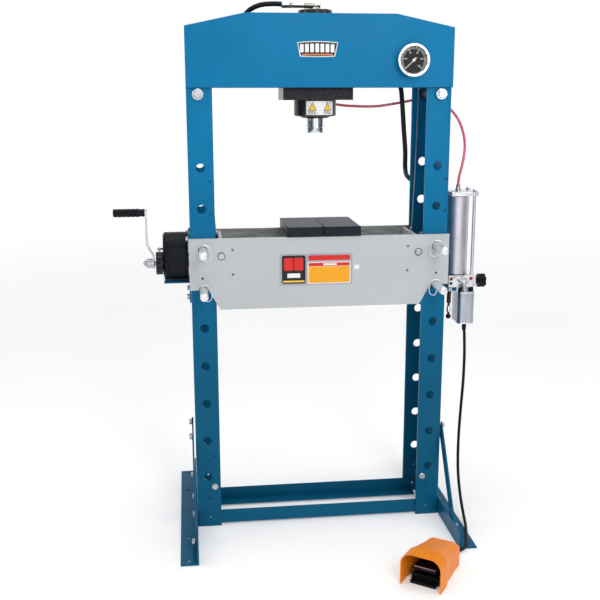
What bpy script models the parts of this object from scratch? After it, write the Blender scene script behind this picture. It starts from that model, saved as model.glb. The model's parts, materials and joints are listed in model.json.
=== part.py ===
"""Hydraulic shop press: H-frame, sliding air-hydraulic cylinder, pinned bed, hand winch and foot valve.

Press coordinates: X = 0 midway between the columns, Y = 0 on the front faces of the columns' front
flanges with +Y towards the back, Z = 0 on the floor.  Everything hangs on the empty press_frame,
which moves the whole press so that the world's origin is under the middle of its overall size.
"""

import math

import bmesh
import bpy
from mathutils import Euler, Matrix, Vector

# ---------------------------------------------------------------- driving dimensions (metres)
GAP = 0.0003                 # clearance between touching pieces

COLUMN_SPAN = 0.920          # outside width over both columns
COLUMN_DEPTH = 0.224         # front flange face to rear flange face
COLUMN_HEIGHT = 1.790
FLANGE_WIDTH = 0.088
FLANGE_THICK = 0.010
WEB_THICK = 0.009
MID_Y = COLUMN_DEPTH / 2

PIN_PITCH = 0.1418
PIN_HOLE_TOP = 1.3325
PIN_HOLE_COUNT = 9
PIN_HOLE_INSET = 0.043       # from the column's outer face
PIN_HOLE_RADIUS = 0.016
PIN_RADIUS = 0.014
PIN_FRONT = 0.134            # how far a pin stands out in front of the columns
PIN_BACK = 0.030             # and behind them
BED_PIN_ROW = 2              # row of holes that the upper bed pins use

PLATE_THICK = 0.012
HEAD_BOTTOM = 1.602
HEAD_SHOULDER = 1.802
HEAD_TOP = 1.845
HEAD_TOP_HALF = 0.257
RAIL_DEPTH = 0.036
RAIL_HEIGHT = 0.025
HEAD_BOLT_X = 0.420
HEAD_BOLT_Z = 1.580
HEAD_BOLT_RADIUS = 0.012
HEAD_SPACER_RADIUS = 0.022

BED_HALF = 0.465
BED_TOP = 1.0895
BED_BOTTOM = 0.8354
BED_NOTCH_Z = 0.907
BED_NOTCH_HALF = 0.4055
BED_BOTTOM_HALF = 0.360
BED_SPACER_X = 0.3525
BED_SPACER_THICK = 0.012

BLOCK_SIZE = (0.131, 0.262, 0.035)
BLOCKS_CENTRE_X = 0.0104

CYLINDER_X = -0.006
CARRIAGE_SIZE = (0.244, 0.170, 0.0414)
CARRIAGE_BOTTOM = 1.560
HANGER_HALF = 0.086
BARREL_RADIUS = 0.0745
BARREL_BORE = 0.0510
BARREL_BOTTOM = 1.504
BARREL_TOP = 1.838
RAM_RADIUS = 0.031
RAM_BOTTOM = 1.4456
RAM_TOP = 1.800
PISTON_RADIUS = 0.0505
CAP_RADIUS = 0.059
CAP_TOP = 1.864

GAUGE_X = 0.311
GAUGE_Z = 1.6917
GAUGE_RADIUS = 0.0545

FOOT_LENGTH = 0.804
FOOT_LEG = 0.0635
FOOT_THICK = 0.006
BEAM_LEG = 0.052
BEAM_THICK = 0.005
BEAM_HALF = 0.408

DRUM_Z = 1.0125
CRANK_Y = 0.0545
CRANK_Z = 0.9960
GEAR_TEETH = 24
PINION_TEETH = 8
GEAR_MODULE = 0.0036
CRANK_THROW_Z = 1.1762
PAWL_Y = 0.0845
PAWL_Z = 1.0420
GRIP_LENGTH = 0.1095
GRIP_RADIUS = 0.0148
GRIP_START_X = -0.6147

PULLEY_Z = 1.645
PULLEY_RADIUS = 0.026        # bottom of the rope groove
ROPE_RADIUS = 0.0025
LEFT_PULLEY_X = -0.4165
RIGHT_PULLEY_X = 0.362
ROPE_LEFT_Y = 0.184
ROPE_RIGHT_Y = 0.200
AXLE_RADIUS = 0.007

PUMP_X = 0.5405
PUMP_Y = 0.112
PUMP_PLATE_HALF = 0.051
AIR_RADIUS = 0.039
AIR_BOTTOM = 0.921
AIR_TOP = 1.2155
PUMP_TOP = 1.231
AIR_X = 0.5285               # the air cylinder stands left of the pump's middle
TIE_ROD_X = 0.5790           # and its two tie rods stand right of it
TIE_ROD_OFFSET = 0.042       # before and behind the pump's middle
TIE_ROD_RADIUS = 0.0062
MANIFOLD_BOTTOM = 0.877
MANIFOLD_RIGHT = 0.594
RESERVOIR_X = (0.532, 0.594)
RESERVOIR_Y = (0.061, 0.165)
RESERVOIR_Z = (0.735, 0.858)
KNOB_Y = 0.085
KNOB_Z = 0.897

PEDAL_CENTRE = (0.317, -0.449)
PEDAL_TURN = math.radians(-36.4)
PEDAL_HALF = 0.072
PEDAL_LENGTH = 0.214

HOSE_RADIUS = 0.0085
AIR_TUBE_RADIUS = 0.005
PEDAL_HOSE_RADIUS = 0.0055

# Overall size of the press, used only to put the world's origin under its middle.
OVERALL_LEFT = GRIP_START_X - GRIP_LENGTH
OVERALL_RIGHT = 0.635
OVERALL_FRONT = -0.578
OVERALL_BACK = MID_Y + FOOT_LENGTH / 2
ORIGIN = (-(OVERALL_LEFT + OVERALL_RIGHT) / 2, -(OVERALL_FRONT + OVERALL_BACK) / 2, 0.0)

ROUND = 28                   # sides of a large round piece
SMALL_ROUND = 16             # sides of a small one

# colour, roughness, metallic
FINISHES = {
    "blue_paint": ((0.012, 0.215, 0.462), 0.38, 0.0),
    "grey_paint": ((0.58, 0.60, 0.62), 0.45, 0.0),
    "black_paint": ((0.012, 0.012, 0.016), 0.4, 0.0),
    "block_steel": ((0.045, 0.05, 0.065), 0.45, 0.6),
    "chrome": ((0.62, 0.64, 0.68), 0.12, 1.0),
    "zinc": ((0.55, 0.57, 0.60), 0.32, 1.0),
    "aluminium": ((0.72, 0.73, 0.75), 0.3, 1.0),
    "brass": ((0.55, 0.42, 0.2), 0.3, 1.0),
    "rubber": ((0.012, 0.012, 0.013), 0.6, 0.0),
    "black_plastic": ((0.014, 0.014, 0.017), 0.45, 0.0),
    "red_tube": ((0.55, 0.09, 0.13), 0.25, 0.0),
    "orange_plastic": ((0.78, 0.25, 0.02), 0.4, 0.0),
    "glass": ((0.9, 0.95, 1.0), 0.05, 0.0),
    "needle_white": ((0.85, 0.85, 0.85), 0.4, 0.0),
}

ALONG_X = (0.0, math.radians(90), 0.0)      # turns a piece made along +Z so that it points along +X
ALONG_Y = (math.radians(-90), 0.0, 0.0)     # and along +Y


# ---------------------------------------------------------------- scene and object helpers
def clear_scene():
    for item in list(bpy.data.objects):
        bpy.data.objects.remove(item, do_unlink=True)


def make_frame():
    frame = bpy.data.objects.new("press_frame", None)
    frame.location = ORIGIN
    bpy.context.scene.collection.objects.link(frame)
    return frame


def make_material(name, finish):
    colour, roughness, metallic = FINISHES[finish]
    material = bpy.data.materials.new(name + "_finish")
    material.use_nodes = True
    shader = material.node_tree.nodes["Principled BSDF"]
    shader.inputs["Base Color"].default_value = (*colour, 1.0)
    shader.inputs["Roughness"].default_value = roughness
    shader.inputs["Metallic"].default_value = metallic
    return material


def add_object(name, mesh, finish, location=(0, 0, 0), rotation=(0, 0, 0)):
    part = bpy.data.objects.new(name, mesh)
    part.location = location
    part.rotation_euler = rotation
    part.parent = press_frame
    if finish:
        mesh.materials.append(make_material(name, finish))
    bpy.context.scene.collection.objects.link(part)
    return part


def add_guide(name, mesh, location=(0, 0, 0), rotation=(0, 0, 0)):
    """A cutter or a union partner, which isn't a piece of the press."""
    guide = add_object("guide_" + name, mesh, None, location, rotation)
    guide.hide_render = True
    guide.display_type = "WIRE"
    return guide


def boolean(part, guide, operation="DIFFERENCE"):
    step = part.modifiers.new(guide.name, "BOOLEAN")
    step.operation = operation
    step.solver = "EXACT"
    step.object = guide


def round_edges(part, width, segments=1, limit=math.radians(50)):
    step = part.modifiers.new("rounded_edges", "BEVEL")
    step.width = width
    step.segments = segments
    step.limit_method = "ANGLE"
    step.angle_limit = limit
    step.harden_normals = False


def shade_round(part):
    part.data.shade_smooth()
    part.data.set_sharp_from_angle(angle=math.radians(35))


# ---------------------------------------------------------------- mesh makers
def mesh_from(bm, name):
    bmesh.ops.recalc_face_normals(bm, faces=bm.faces)
    mesh = bpy.data.meshes.new(name)
    bm.to_mesh(mesh)
    bm.free()
    return mesh


def box_mesh(low, high):
    """A box between two corners."""
    bm = bmesh.new()
    bmesh.ops.create_cube(bm, size=1.0)
    size = Vector(high) - Vector(low)
    middle = (Vector(high) + Vector(low)) / 2
    bmesh.ops.transform(bm, matrix=Matrix.Translation(middle) @ Matrix.Diagonal((*size, 1.0)), verts=bm.verts)
    return mesh_from(bm, "box")


def prism_mesh(outline, start, end):
    """An outline in the XY plane, extruded from Z = start to Z = end."""
    bm = bmesh.new()
    face = bm.faces.new([bm.verts.new((x, y, start)) for x, y in outline])
    grown = bmesh.ops.extrude_face_region(bm, geom=[face])
    tops = [item for item in grown["geom"] if isinstance(item, bmesh.types.BMVert)]
    bmesh.ops.translate(bm, vec=(0, 0, end - start), verts=tops)
    return mesh_from(bm, "prism")


def turned_mesh(profile, sides=ROUND, closed=False):
    """A profile of (radius, height) points turned about Z.  A closed profile makes a ring or a tube."""
    bm = bmesh.new()
    rings = []
    for radius, height in profile:
        if radius == 0.0:
            rings.append([bm.verts.new((0, 0, height))])
            continue
        angles = [2 * math.pi * i / sides for i in range(sides)]
        rings.append([bm.verts.new((radius * math.cos(a), radius * math.sin(a), height)) for a in angles])
    pairs = list(zip(rings, rings[1:]))
    if closed:
        pairs.append((rings[-1], rings[0]))
    for low, high in pairs:
        for i in range(sides):
            j = (i + 1) % sides
            corners = [low[i % len(low)], low[j % len(low)], high[j % len(high)], high[i % len(high)]]
            bm.faces.new(list(dict.fromkeys(corners)))
    if not closed:
        for ring in (rings[0], rings[-1]):
            if len(ring) > 1:
                bm.faces.new(ring)
    return mesh_from(bm, "turned")


def rod_mesh(radius, start, end, sides=SMALL_ROUND, chamfer=0.0):
    """A round bar along Z, with chamfered ends."""
    if chamfer == 0.0:
        return turned_mesh([(radius, start), (radius, end)], sides)
    profile = [
        (radius - chamfer, start),
        (radius, start + chamfer),
        (radius, end - chamfer),
        (radius - chamfer, end),
    ]
    return turned_mesh(profile, sides)


def joined_mesh(meshes_and_matrices):
    """Several closed shapes in one mesh, for cutters."""
    bm = bmesh.new()
    for mesh, matrix in meshes_and_matrices:
        mesh.transform(matrix)
        bm.from_mesh(mesh)
    return mesh_from(bm, "joined")


def rod_along_y(place, radius, start, end, sides=SMALL_ROUND):
    """A round bar along Y at an (x, z) place, with the matrix that puts it there."""
    turn = Euler(ALONG_Y).to_matrix().to_4x4()
    return rod_mesh(radius, start, end, sides), Matrix.Translation((place[0], 0, place[1])) @ turn


def rods_along_y(places, radius, start, end, sides=SMALL_ROUND):
    """A set of equal round bars along Y at (x, z) places, in one mesh."""
    return joined_mesh([rod_along_y(place, radius, start, end, sides) for place in places])


def arc(centre, radius, start, end, steps):
    """Points on an arc from start to end, in degrees."""
    points = []
    for i in range(steps + 1):
        angle = math.radians(start + (end - start) * i / steps)
        points.append((centre[0] + radius * math.cos(angle), centre[1] + radius * math.sin(angle)))
    return points


def smooth_points(route, spacing):
    """Evenly read points of the smooth curve (Catmull-Rom) through a route's own points."""
    ends = [2 * Vector(route[0]) - Vector(route[1])]
    knots = ends + [Vector(p) for p in route] + [2 * Vector(route[-1]) - Vector(route[-2])]
    fine = []
    for a, b, c, d in zip(knots, knots[1:], knots[2:], knots[3:]):
        steps = max(4, int((c - b).length / spacing * 4))
        for i in range(steps):
            t = i / steps
            fine.append(0.5 * (2 * b + (c - a) * t + (2 * a - 5 * b + 4 * c - d) * t**2
                               + (3 * b - a - 3 * c + d) * t**3))
    fine.append(knots[-2])
    length = sum((q - p).length for p, q in zip(fine, fine[1:]))
    count = max(2, round(length / spacing))
    points, walked, wanted = [fine[0]], 0.0, length / count
    for p, q in zip(fine, fine[1:]):
        step = (q - p).length
        while len(points) < count and walked + step >= wanted * len(points):
            points.append(p.lerp(q, (wanted * len(points) - walked) / step))
        walked += step
    points.append(fine[-1])
    return points


def add_tube(name, route, radius, finish, spacing, resolution=2):
    """A hose or tube along a smooth route, or a taut rope straight through its points if the spacing is 0."""
    points = smooth_points(route, spacing) if spacing else route
    curve = bpy.data.curves.new(name, "CURVE")
    curve.dimensions = "3D"
    curve.bevel_depth = radius
    curve.bevel_resolution = resolution
    curve.use_fill_caps = True
    spline = curve.splines.new("POLY")
    spline.points.add(len(points) - 1)
    for knot, point in zip(spline.points, points):
        knot.co = (*point, 1.0)
    return add_object(name, curve, finish)


def gear_outline(teeth, tip, root, tip_share=0.26, root_share=0.46, phase=0.0):
    """A gear's outline with straight-flanked teeth.  Shares are parts of one tooth's pitch."""
    points = []
    for i in range(teeth):
        middle = phase + 360.0 * i / teeth
        for radius, share, side in ((root, root_share, -1), (tip, tip_share, -1), (tip, tip_share, 1),
                                    (root, root_share, 1)):
            angle = math.radians(middle + side * share / 2 * 360.0 / teeth)
            points.append((radius * math.cos(angle), radius * math.sin(angle)))
    return points


# ---------------------------------------------------------------- columns
def pin_hole_places(side):
    x = side * (COLUMN_SPAN / 2 - PIN_HOLE_INSET)
    return [(x, PIN_HOLE_TOP - PIN_PITCH * i) for i in range(PIN_HOLE_COUNT)]


def small_hole_places(side):
    """Fixing holes, which differ between the columns."""
    beam_hole = (side * 0.4120, 0.0330)
    if side < 0:
        return [(-0.3855, 1.2863), (-0.3855, 1.1744), (-0.3940, 0.2790), (-0.4140, 0.1126), beam_hole]
    return [(0.4505, 1.2850), (0.4505, 1.1730), (0.4368, 0.2820), (0.4144, 0.1126), beam_hole]


def make_column(name, side):
    outer = side * COLUMN_SPAN / 2
    web = outer - side * WEB_THICK
    tip = outer - side * FLANGE_WIDTH
    corner = 0.006
    back = COLUMN_DEPTH
    outline = [
        (outer - side * corner, 0.0),
        (tip, 0.0),
        (tip, FLANGE_THICK),
        (web, FLANGE_THICK),
        (web, back - FLANGE_THICK),
        (tip, back - FLANGE_THICK),
        (tip, back),
        (outer - side * corner, back),
        (outer - side * corner * 0.3, back - corner * 0.3),
        (outer, back - corner),
        (outer, corner),
        (outer - side * corner * 0.3, corner * 0.3),
    ]
    column = add_object(name, prism_mesh(outline, 0.0, COLUMN_HEIGHT), "blue_paint")
    through = (-0.05, COLUMN_DEPTH + 0.05)
    rods = [rod_along_y(place, PIN_HOLE_RADIUS, *through, 16) for place in pin_hole_places(side)]
    rods += [rod_along_y(place, 0.0045, *through, 6) for place in small_hole_places(side)]
    rods.append(rod_along_y((side * HEAD_BOLT_X, HEAD_BOLT_Z), HEAD_BOLT_RADIUS + 0.0006, *through, 16))
    if side < 0:
        axle = rod_along_y((LEFT_PULLEY_X, PULLEY_Z), AXLE_RADIUS + 0.001, MID_Y, through[1], 12)
        window = box_mesh((-0.480, 0.122, 1.050), (-0.440, 0.178, 1.110)), Matrix()
        rods += [axle, window]
    boolean(column, add_guide(name + "_holes", joined_mesh(rods)))
    return column


# ---------------------------------------------------------------- head
def head_outline():
    half = COLUMN_SPAN / 2
    return [
        (-half, HEAD_BOTTOM),
        (half, HEAD_BOTTOM),
        (half, HEAD_SHOULDER),
        (HEAD_TOP_HALF, HEAD_TOP),
        (-HEAD_TOP_HALF, HEAD_TOP),
        (-half, HEAD_SHOULDER),
    ]


def plate_along_y(name, outline, front, thickness, finish):
    """A plate whose outline is in XZ, from Y = front to Y = front + thickness."""
    mesh = prism_mesh([(x, -z) for x, z in outline], front, front + thickness)
    return add_object(name, mesh, finish, rotation=ALONG_Y)


def apply_rotation(part):
    """Bakes the rotation into the mesh, so that guides in press coordinates line up."""
    part.data.transform(Euler(part.rotation_euler).to_matrix().to_4x4())
    part.rotation_euler = (0, 0, 0)


def make_head():
    reach = COLUMN_SPAN / 2 - FLANGE_WIDTH - 0.004
    front_face = -PLATE_THICK - GAP
    rear_face = COLUMN_DEPTH + GAP
    front = plate_along_y("head_front_plate", head_outline(), front_face, PLATE_THICK, "blue_paint")
    rear = plate_along_y("head_rear_plate", head_outline(), rear_face, PLATE_THICK, "blue_paint")
    for plate in (front, rear):
        apply_rotation(plate)
    front_rail = box_mesh((-reach, -0.003, HEAD_BOTTOM), (reach, RAIL_DEPTH, HEAD_BOTTOM + RAIL_HEIGHT))
    boolean(front, add_guide("front_rail", front_rail), "UNION")
    low_y = COLUMN_DEPTH - RAIL_DEPTH
    short = RIGHT_PULLEY_X - PULLEY_RADIUS - 0.011
    rear_rail = box_mesh((-reach, low_y, HEAD_BOTTOM), (short, rear_face + 0.003, HEAD_BOTTOM + RAIL_HEIGHT))
    boolean(rear, add_guide("rear_rail", rear_rail), "UNION")
    for name, x in (("left", LEFT_PULLEY_X), ("right", RIGHT_PULLEY_X)):
        stub = rods_along_y([(x, PULLEY_Z)], AXLE_RADIUS, 0.170, rear_face + 0.004)
        boolean(rear, add_guide(name + "_axle", stub), "UNION")


def make_head_bolts():
    for name, side in (("left", -1), ("right", 1)):
        place = (side * HEAD_BOLT_X, 0.0, HEAD_BOLT_Z)
        grip = (-0.0165, COLUMN_DEPTH + 0.0165)
        profile = [
            (0.018, grip[0]),
            (0.0195, grip[0] + 0.002),
            (0.0195, -GAP),
            (HEAD_BOLT_RADIUS, -GAP),
            (HEAD_BOLT_RADIUS, COLUMN_DEPTH + GAP),
            (0.0195, COLUMN_DEPTH + GAP),
            (0.0195, grip[1] - 0.002),
            (0.018, grip[1]),
        ]
        bolt = add_object("head_bolt_" + name, turned_mesh(profile, 24), "zinc", place, ALONG_Y)
        shade_round(bolt)
        low = FLANGE_THICK + GAP
        high = COLUMN_DEPTH - FLANGE_THICK - GAP
        inner = HEAD_BOLT_RADIUS + 0.0006
        ring = [(HEAD_SPACER_RADIUS, low), (HEAD_SPACER_RADIUS, high), (inner, high), (inner, low)]
        spacer = add_object("head_spacer_" + name, turned_mesh(ring, 24, closed=True), "black_paint",
                            place, ALONG_Y)
        shade_round(spacer)


# ---------------------------------------------------------------- lower frame
def make_cross_beam(name, flange_face, inward):
    """An angle bar standing behind a pair of column flanges, its flat leg turned inwards."""
    y0 = flange_face
    y1 = flange_face + inward * BEAM_THICK
    y2 = flange_face + inward * BEAM_LEG
    outline = [(y0, 0.006), (y2, 0.006), (y2, 0.006 + BEAM_THICK), (y1, 0.006 + BEAM_THICK),
               (y1, 0.006 + BEAM_LEG), (y0, 0.006 + BEAM_LEG)]
    beam = add_object(name, prism_mesh([(-z, y) for y, z in outline], -BEAM_HALF, BEAM_HALF), "blue_paint",
                      rotation=ALONG_X)
    return beam


def make_foot(name, side):
    inner = side * (COLUMN_SPAN / 2 + GAP)
    outer = inner + side * FOOT_LEG
    wall = inner + side * FOOT_THICK
    outline = [(inner, 0.0), (outer, 0.0), (outer, FOOT_THICK), (wall, FOOT_THICK), (wall, FOOT_LEG),
               (inner, FOOT_LEG)]
    mesh = prism_mesh([(x, -z) for x, z in outline], MID_Y - FOOT_LENGTH / 2, MID_Y + FOOT_LENGTH / 2)
    foot = add_object(name, mesh, "blue_paint", rotation=ALONG_Y)
    apply_rotation(foot)
    middle = inner + side * (FOOT_THICK + FOOT_LEG) / 2
    down = [(rod_mesh(0.007, -0.01, 0.02, 10), Matrix.Translation((middle, y, 0)))
            for y in (-0.262, -0.090, MID_Y * 2 + 0.090, MID_Y * 2 + 0.262)]
    boolean(foot, add_guide(name + "_floor_holes", joined_mesh(down)))
    return foot


def make_strut(name, side, end):
    """A flat brace on the outside of a column, from its edge down to the foot's upright leg."""
    plane = side * (COLUMN_SPAN / 2 + FOOT_THICK + 2 * GAP)
    half_width = 0.021
    top = Vector((MID_Y + end * 0.078, 0.348))
    low = Vector((MID_Y + end * 0.292, 0.030))
    along = (top - low).normalized()
    across = Vector((-along.y, along.x)) * half_width
    outline = [top + across, top - across, low - across, low + across]
    mesh = prism_mesh([(-p.y, p.x) for p in outline], plane, plane + side * FOOT_THICK)
    return add_object(name, mesh, "blue_paint", rotation=ALONG_X)


def make_base():
    make_cross_beam("cross_beam_front", FLANGE_THICK + GAP, 1)
    make_cross_beam("cross_beam_rear", COLUMN_DEPTH - FLANGE_THICK - GAP, -1)
    for word, side in (("left", -1), ("right", 1)):
        make_foot("foot_" + word, side)
        make_strut("strut_" + word + "_front", side, -1)
        make_strut("strut_" + word + "_rear", side, 1)


# ---------------------------------------------------------------- bed
def bed_outline():
    """The bed plate's outline: hanging ends over the columns, with a half-round seat for each lower pin."""
    pin_x = COLUMN_SPAN / 2 - PIN_HOLE_INSET
    seat = PIN_HOLE_RADIUS - 0.0005
    right = [(BED_BOTTOM_HALF, BED_BOTTOM), (BED_NOTCH_HALF - 0.006, BED_NOTCH_Z)]
    right += arc((pin_x, BED_NOTCH_Z), seat, 180, 0, 10)
    right += [(BED_HALF, BED_NOTCH_Z), (BED_HALF, BED_TOP)]
    left = [(-x, z) for x, z in reversed(right)]
    return right + left


def make_bed():
    pin_x = COLUMN_SPAN / 2 - PIN_HOLE_INSET
    pin_z = PIN_HOLE_TOP - BED_PIN_ROW * PIN_PITCH
    for name, front in (("bed_front_plate", -PLATE_THICK - GAP), ("bed_rear_plate", COLUMN_DEPTH + GAP)):
        plate = plate_along_y(name, bed_outline(), front, PLATE_THICK, "grey_paint")
        apply_rotation(plate)
        through = (front - 0.01, front + PLATE_THICK + 0.01)
        big = rods_along_y([(-pin_x, pin_z), (pin_x, pin_z)], PIN_HOLE_RADIUS, *through, sides=16)
        boolean(plate, add_guide(name + "_pin_holes", big))
        places = [(s * 0.3134, z) for s in (-1, 1) for z in (1.0485, 0.961)]
        places += [(s * 0.4197, 0.949) for s in (-1, 1)]
        boolean(plate, add_guide(name + "_holes", rods_along_y(places, 0.0048, *through, sides=6)))
    for word, side in (("left", -1), ("right", 1)):
        half = BED_SPACER_THICK / 2
        low = (side * BED_SPACER_X - half, 0.0, 0.905)
        high = (side * BED_SPACER_X + half, COLUMN_DEPTH, 1.084)
        add_object("bed_spacer_" + word, box_mesh(low, high), "blue_paint")


def make_pin(name, side, row):
    place = (side * (COLUMN_SPAN / 2 - PIN_HOLE_INSET), 0.0, PIN_HOLE_TOP - row * PIN_PITCH)
    mesh = rod_mesh(PIN_RADIUS, -PIN_FRONT, COLUMN_DEPTH + PIN_BACK, 20, chamfer=0.002)
    pin = add_object(name, mesh, "zinc", place, ALONG_Y)
    shade_round(pin)


def make_press_block(name, side):
    width, depth, height = BLOCK_SIZE
    centre = BLOCKS_CENTRE_X + side * (width / 2 + GAP)
    low = (-width / 2, -depth / 2, 0.0)
    high = (width / 2, depth / 2, height)
    block = add_object(name, box_mesh(low, high), "block_steel", (centre, MID_Y, BED_TOP + GAP))
    round_edges(block, 0.0015)


# ---------------------------------------------------------------- cylinder head and ram
def make_carriage():
    """The block that carries the cylinder: it hangs on the head's two rails by its upper flange."""
    width, depth, height = CARRIAGE_SIZE
    place = (CYLINDER_X, MID_Y, CARRIAGE_BOTTOM)
    low = (-width / 2, -depth / 2, 0)
    high = (width / 2, depth / 2, height)
    carriage = add_object("cylinder_carriage", box_mesh(low, high), "black_paint", place)
    rail_top = HEAD_BOTTOM + RAIL_HEIGHT + 2 * GAP - CARRIAGE_BOTTOM
    between = MID_Y - RAIL_DEPTH - 0.002
    hanger = HANGER_HALF
    neck = box_mesh((-hanger, -between, height - 0.005), (hanger, between, rail_top + 0.005))
    boolean(carriage, add_guide("carriage_neck", neck, place), "UNION")
    reach = between + 0.022
    flange = box_mesh((-hanger, -reach, rail_top), (hanger, reach, rail_top + 0.012))
    boolean(carriage, add_guide("carriage_flange", flange, place), "UNION")
    bore = rod_mesh(BARREL_RADIUS + 2 * GAP, -0.05, 0.15, ROUND)
    boolean(carriage, add_guide("carriage_bore", bore, place))


def make_cylinder():
    gland = RAM_RADIUS + 0.0004
    profile = [
        (gland, BARREL_BOTTOM),
        (BARREL_RADIUS - 0.005, BARREL_BOTTOM),
        (BARREL_RADIUS - 0.0015, BARREL_BOTTOM + 0.0015),
        (BARREL_RADIUS, BARREL_BOTTOM + 0.005),
        (BARREL_RADIUS, BARREL_TOP),
        (BARREL_BORE, BARREL_TOP),
        (BARREL_BORE, BARREL_BOTTOM + 0.031),
        (gland, BARREL_BOTTOM + 0.031),
    ]
    barrel = add_object("cylinder_barrel", turned_mesh(profile, ROUND, closed=True), "black_paint",
                        (CYLINDER_X, MID_Y, 0))
    shade_round(barrel)

    base = BARREL_TOP + GAP
    cap_profile = [
        (0.0, base),
        (BARREL_RADIUS - 0.006, base),
        (BARREL_RADIUS - 0.006, base + 0.006),
        (CAP_RADIUS, base + 0.008),
        (CAP_RADIUS, CAP_TOP - 0.003),
        (CAP_RADIUS - 0.003, CAP_TOP),
        (0.0, CAP_TOP),
    ]
    cap = add_object("cylinder_cap", turned_mesh(cap_profile, ROUND), "black_paint", (CYLINDER_X, MID_Y, 0))
    shade_round(cap)


def make_ram():
    profile = [
        (0.0, RAM_BOTTOM),
        (RAM_RADIUS - 0.002, RAM_BOTTOM),
        (RAM_RADIUS, RAM_BOTTOM + 0.002),
        (RAM_RADIUS, RAM_BOTTOM + 0.015),
        (RAM_RADIUS - 0.0015, RAM_BOTTOM + 0.0165),
        (RAM_RADIUS - 0.0015, RAM_BOTTOM + 0.0190),
        (RAM_RADIUS, RAM_BOTTOM + 0.0205),
        (RAM_RADIUS, RAM_TOP - 0.040),
        (PISTON_RADIUS, RAM_TOP - 0.040),
        (PISTON_RADIUS, RAM_TOP),
        (0.0, RAM_TOP),
    ]
    ram = add_object("ram", turned_mesh(profile, ROUND), "chrome", (CYLINDER_X, MID_Y, 0))
    shade_round(ram)


def make_elbow():
    """The banjo elbow on top of the cylinder, whose outlet points to the left."""
    outlet_z = 1.8815
    stem = rod_mesh(0.0095, CAP_TOP + GAP, outlet_z + 0.0105, SMALL_ROUND)
    elbow = add_object("hose_elbow", stem, "brass", (CYLINDER_X + 0.003, MID_Y, 0))
    profile = [(0.0105, -0.014), (0.0125, -0.012), (0.0125, 0.024), (0.0118, 0.026), (0.0118, 0.0415),
               (0.0105, 0.043), (0.0105, 0.083)]
    turn = (0.0, math.radians(-90), 0.0)
    place = (CYLINDER_X + 0.003, MID_Y, outlet_z)
    arm = add_guide("elbow_arm", turned_mesh(profile, SMALL_ROUND), place, turn)
    boolean(elbow, arm, "UNION")


# ---------------------------------------------------------------- gauge
def make_gauge():
    plate = -PLATE_THICK - 2 * GAP
    rim = GAUGE_RADIUS
    place = (GAUGE_X, 0.0, GAUGE_Z)
    profile = [
        (0.0, plate),
        (rim * 0.80, plate),
        (rim * 0.80, plate - 0.010),
        (rim - 0.003, plate - 0.014),
        (rim, plate - 0.018),
        (rim, plate - 0.034),
        (rim - 0.003, plate - 0.037),
        (rim - 0.008, plate - 0.037),
        (rim - 0.008, plate - 0.026),
        (0.0, plate - 0.026),
    ]
    case = add_object("gauge_case", turned_mesh(profile, ROUND), "chrome", place, ALONG_Y)
    shade_round(case)
    glass_y = plate - 0.0358
    glass = rod_mesh(rim - 0.0083, glass_y, glass_y + 0.0025, ROUND)
    add_object("gauge_lens", glass, "glass", place, ALONG_Y)

    pointer = [(-0.0014, 0.0), (-0.0024, -0.012), (0.0024, -0.012), (0.0014, 0.0), (0.0009, 0.036),
               (-0.0009, 0.036)]
    lean = math.radians(135)       # the pointer's rest place, at the start of the scale
    needle_y = plate - 0.0300
    turned = [(x * math.cos(lean) - z * math.sin(lean), x * math.sin(lean) + z * math.cos(lean))
              for x, z in pointer]
    mesh = prism_mesh([(x, -z) for x, z in turned], 0.0, 0.0012)
    needle = add_object("gauge_needle", mesh, "needle_white", (GAUGE_X, needle_y, GAUGE_Z), ALONG_Y)
    hub = add_guide("needle_hub", rod_mesh(0.0045, -0.001, 0.0022, 12), (GAUGE_X, needle_y, GAUGE_Z), ALONG_Y)
    boolean(needle, hub, "UNION")


# ---------------------------------------------------------------- winch
def make_winch_bracket():
    """A plate on the left column's web with a shelf that the drum cover rests on."""
    face = -COLUMN_SPAN / 2 - GAP
    plate = face - 0.0055
    bracket = add_object("winch_bracket", box_mesh((plate, 0.018, 0.857), (face, 0.206, 1.100)), "blue_paint")
    shelf = box_mesh((-0.5555, 0.058, 0.9205), (plate + 0.002, 0.166, 0.9255))
    boolean(bracket, add_guide("winch_shelf", shelf), "UNION")
    window = box_mesh((-0.480, 0.122, 1.050), (-0.440, 0.178, 1.1))
    boolean(bracket, add_guide("bracket_window", window))
    axle = rod_mesh(0.008, 0.0, 0.088, SMALL_ROUND)
    stub = add_guide("drum_axle", axle, (-0.5515, MID_Y, DRUM_Z), ALONG_X)
    boolean(bracket, stub, "UNION")
    bearing = add_guide("shaft_bearing", rod_mesh(0.0135, 0.0, 0.024), (-0.4880, CRANK_Y, CRANK_Z), ALONG_X)
    boolean(bracket, bearing, "UNION")
    bore = add_guide("bearing_bore", rod_mesh(0.0088, -0.01, 0.0175), (-0.4880, CRANK_Y, CRANK_Z), ALONG_X)
    boolean(bracket, bore)


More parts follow.
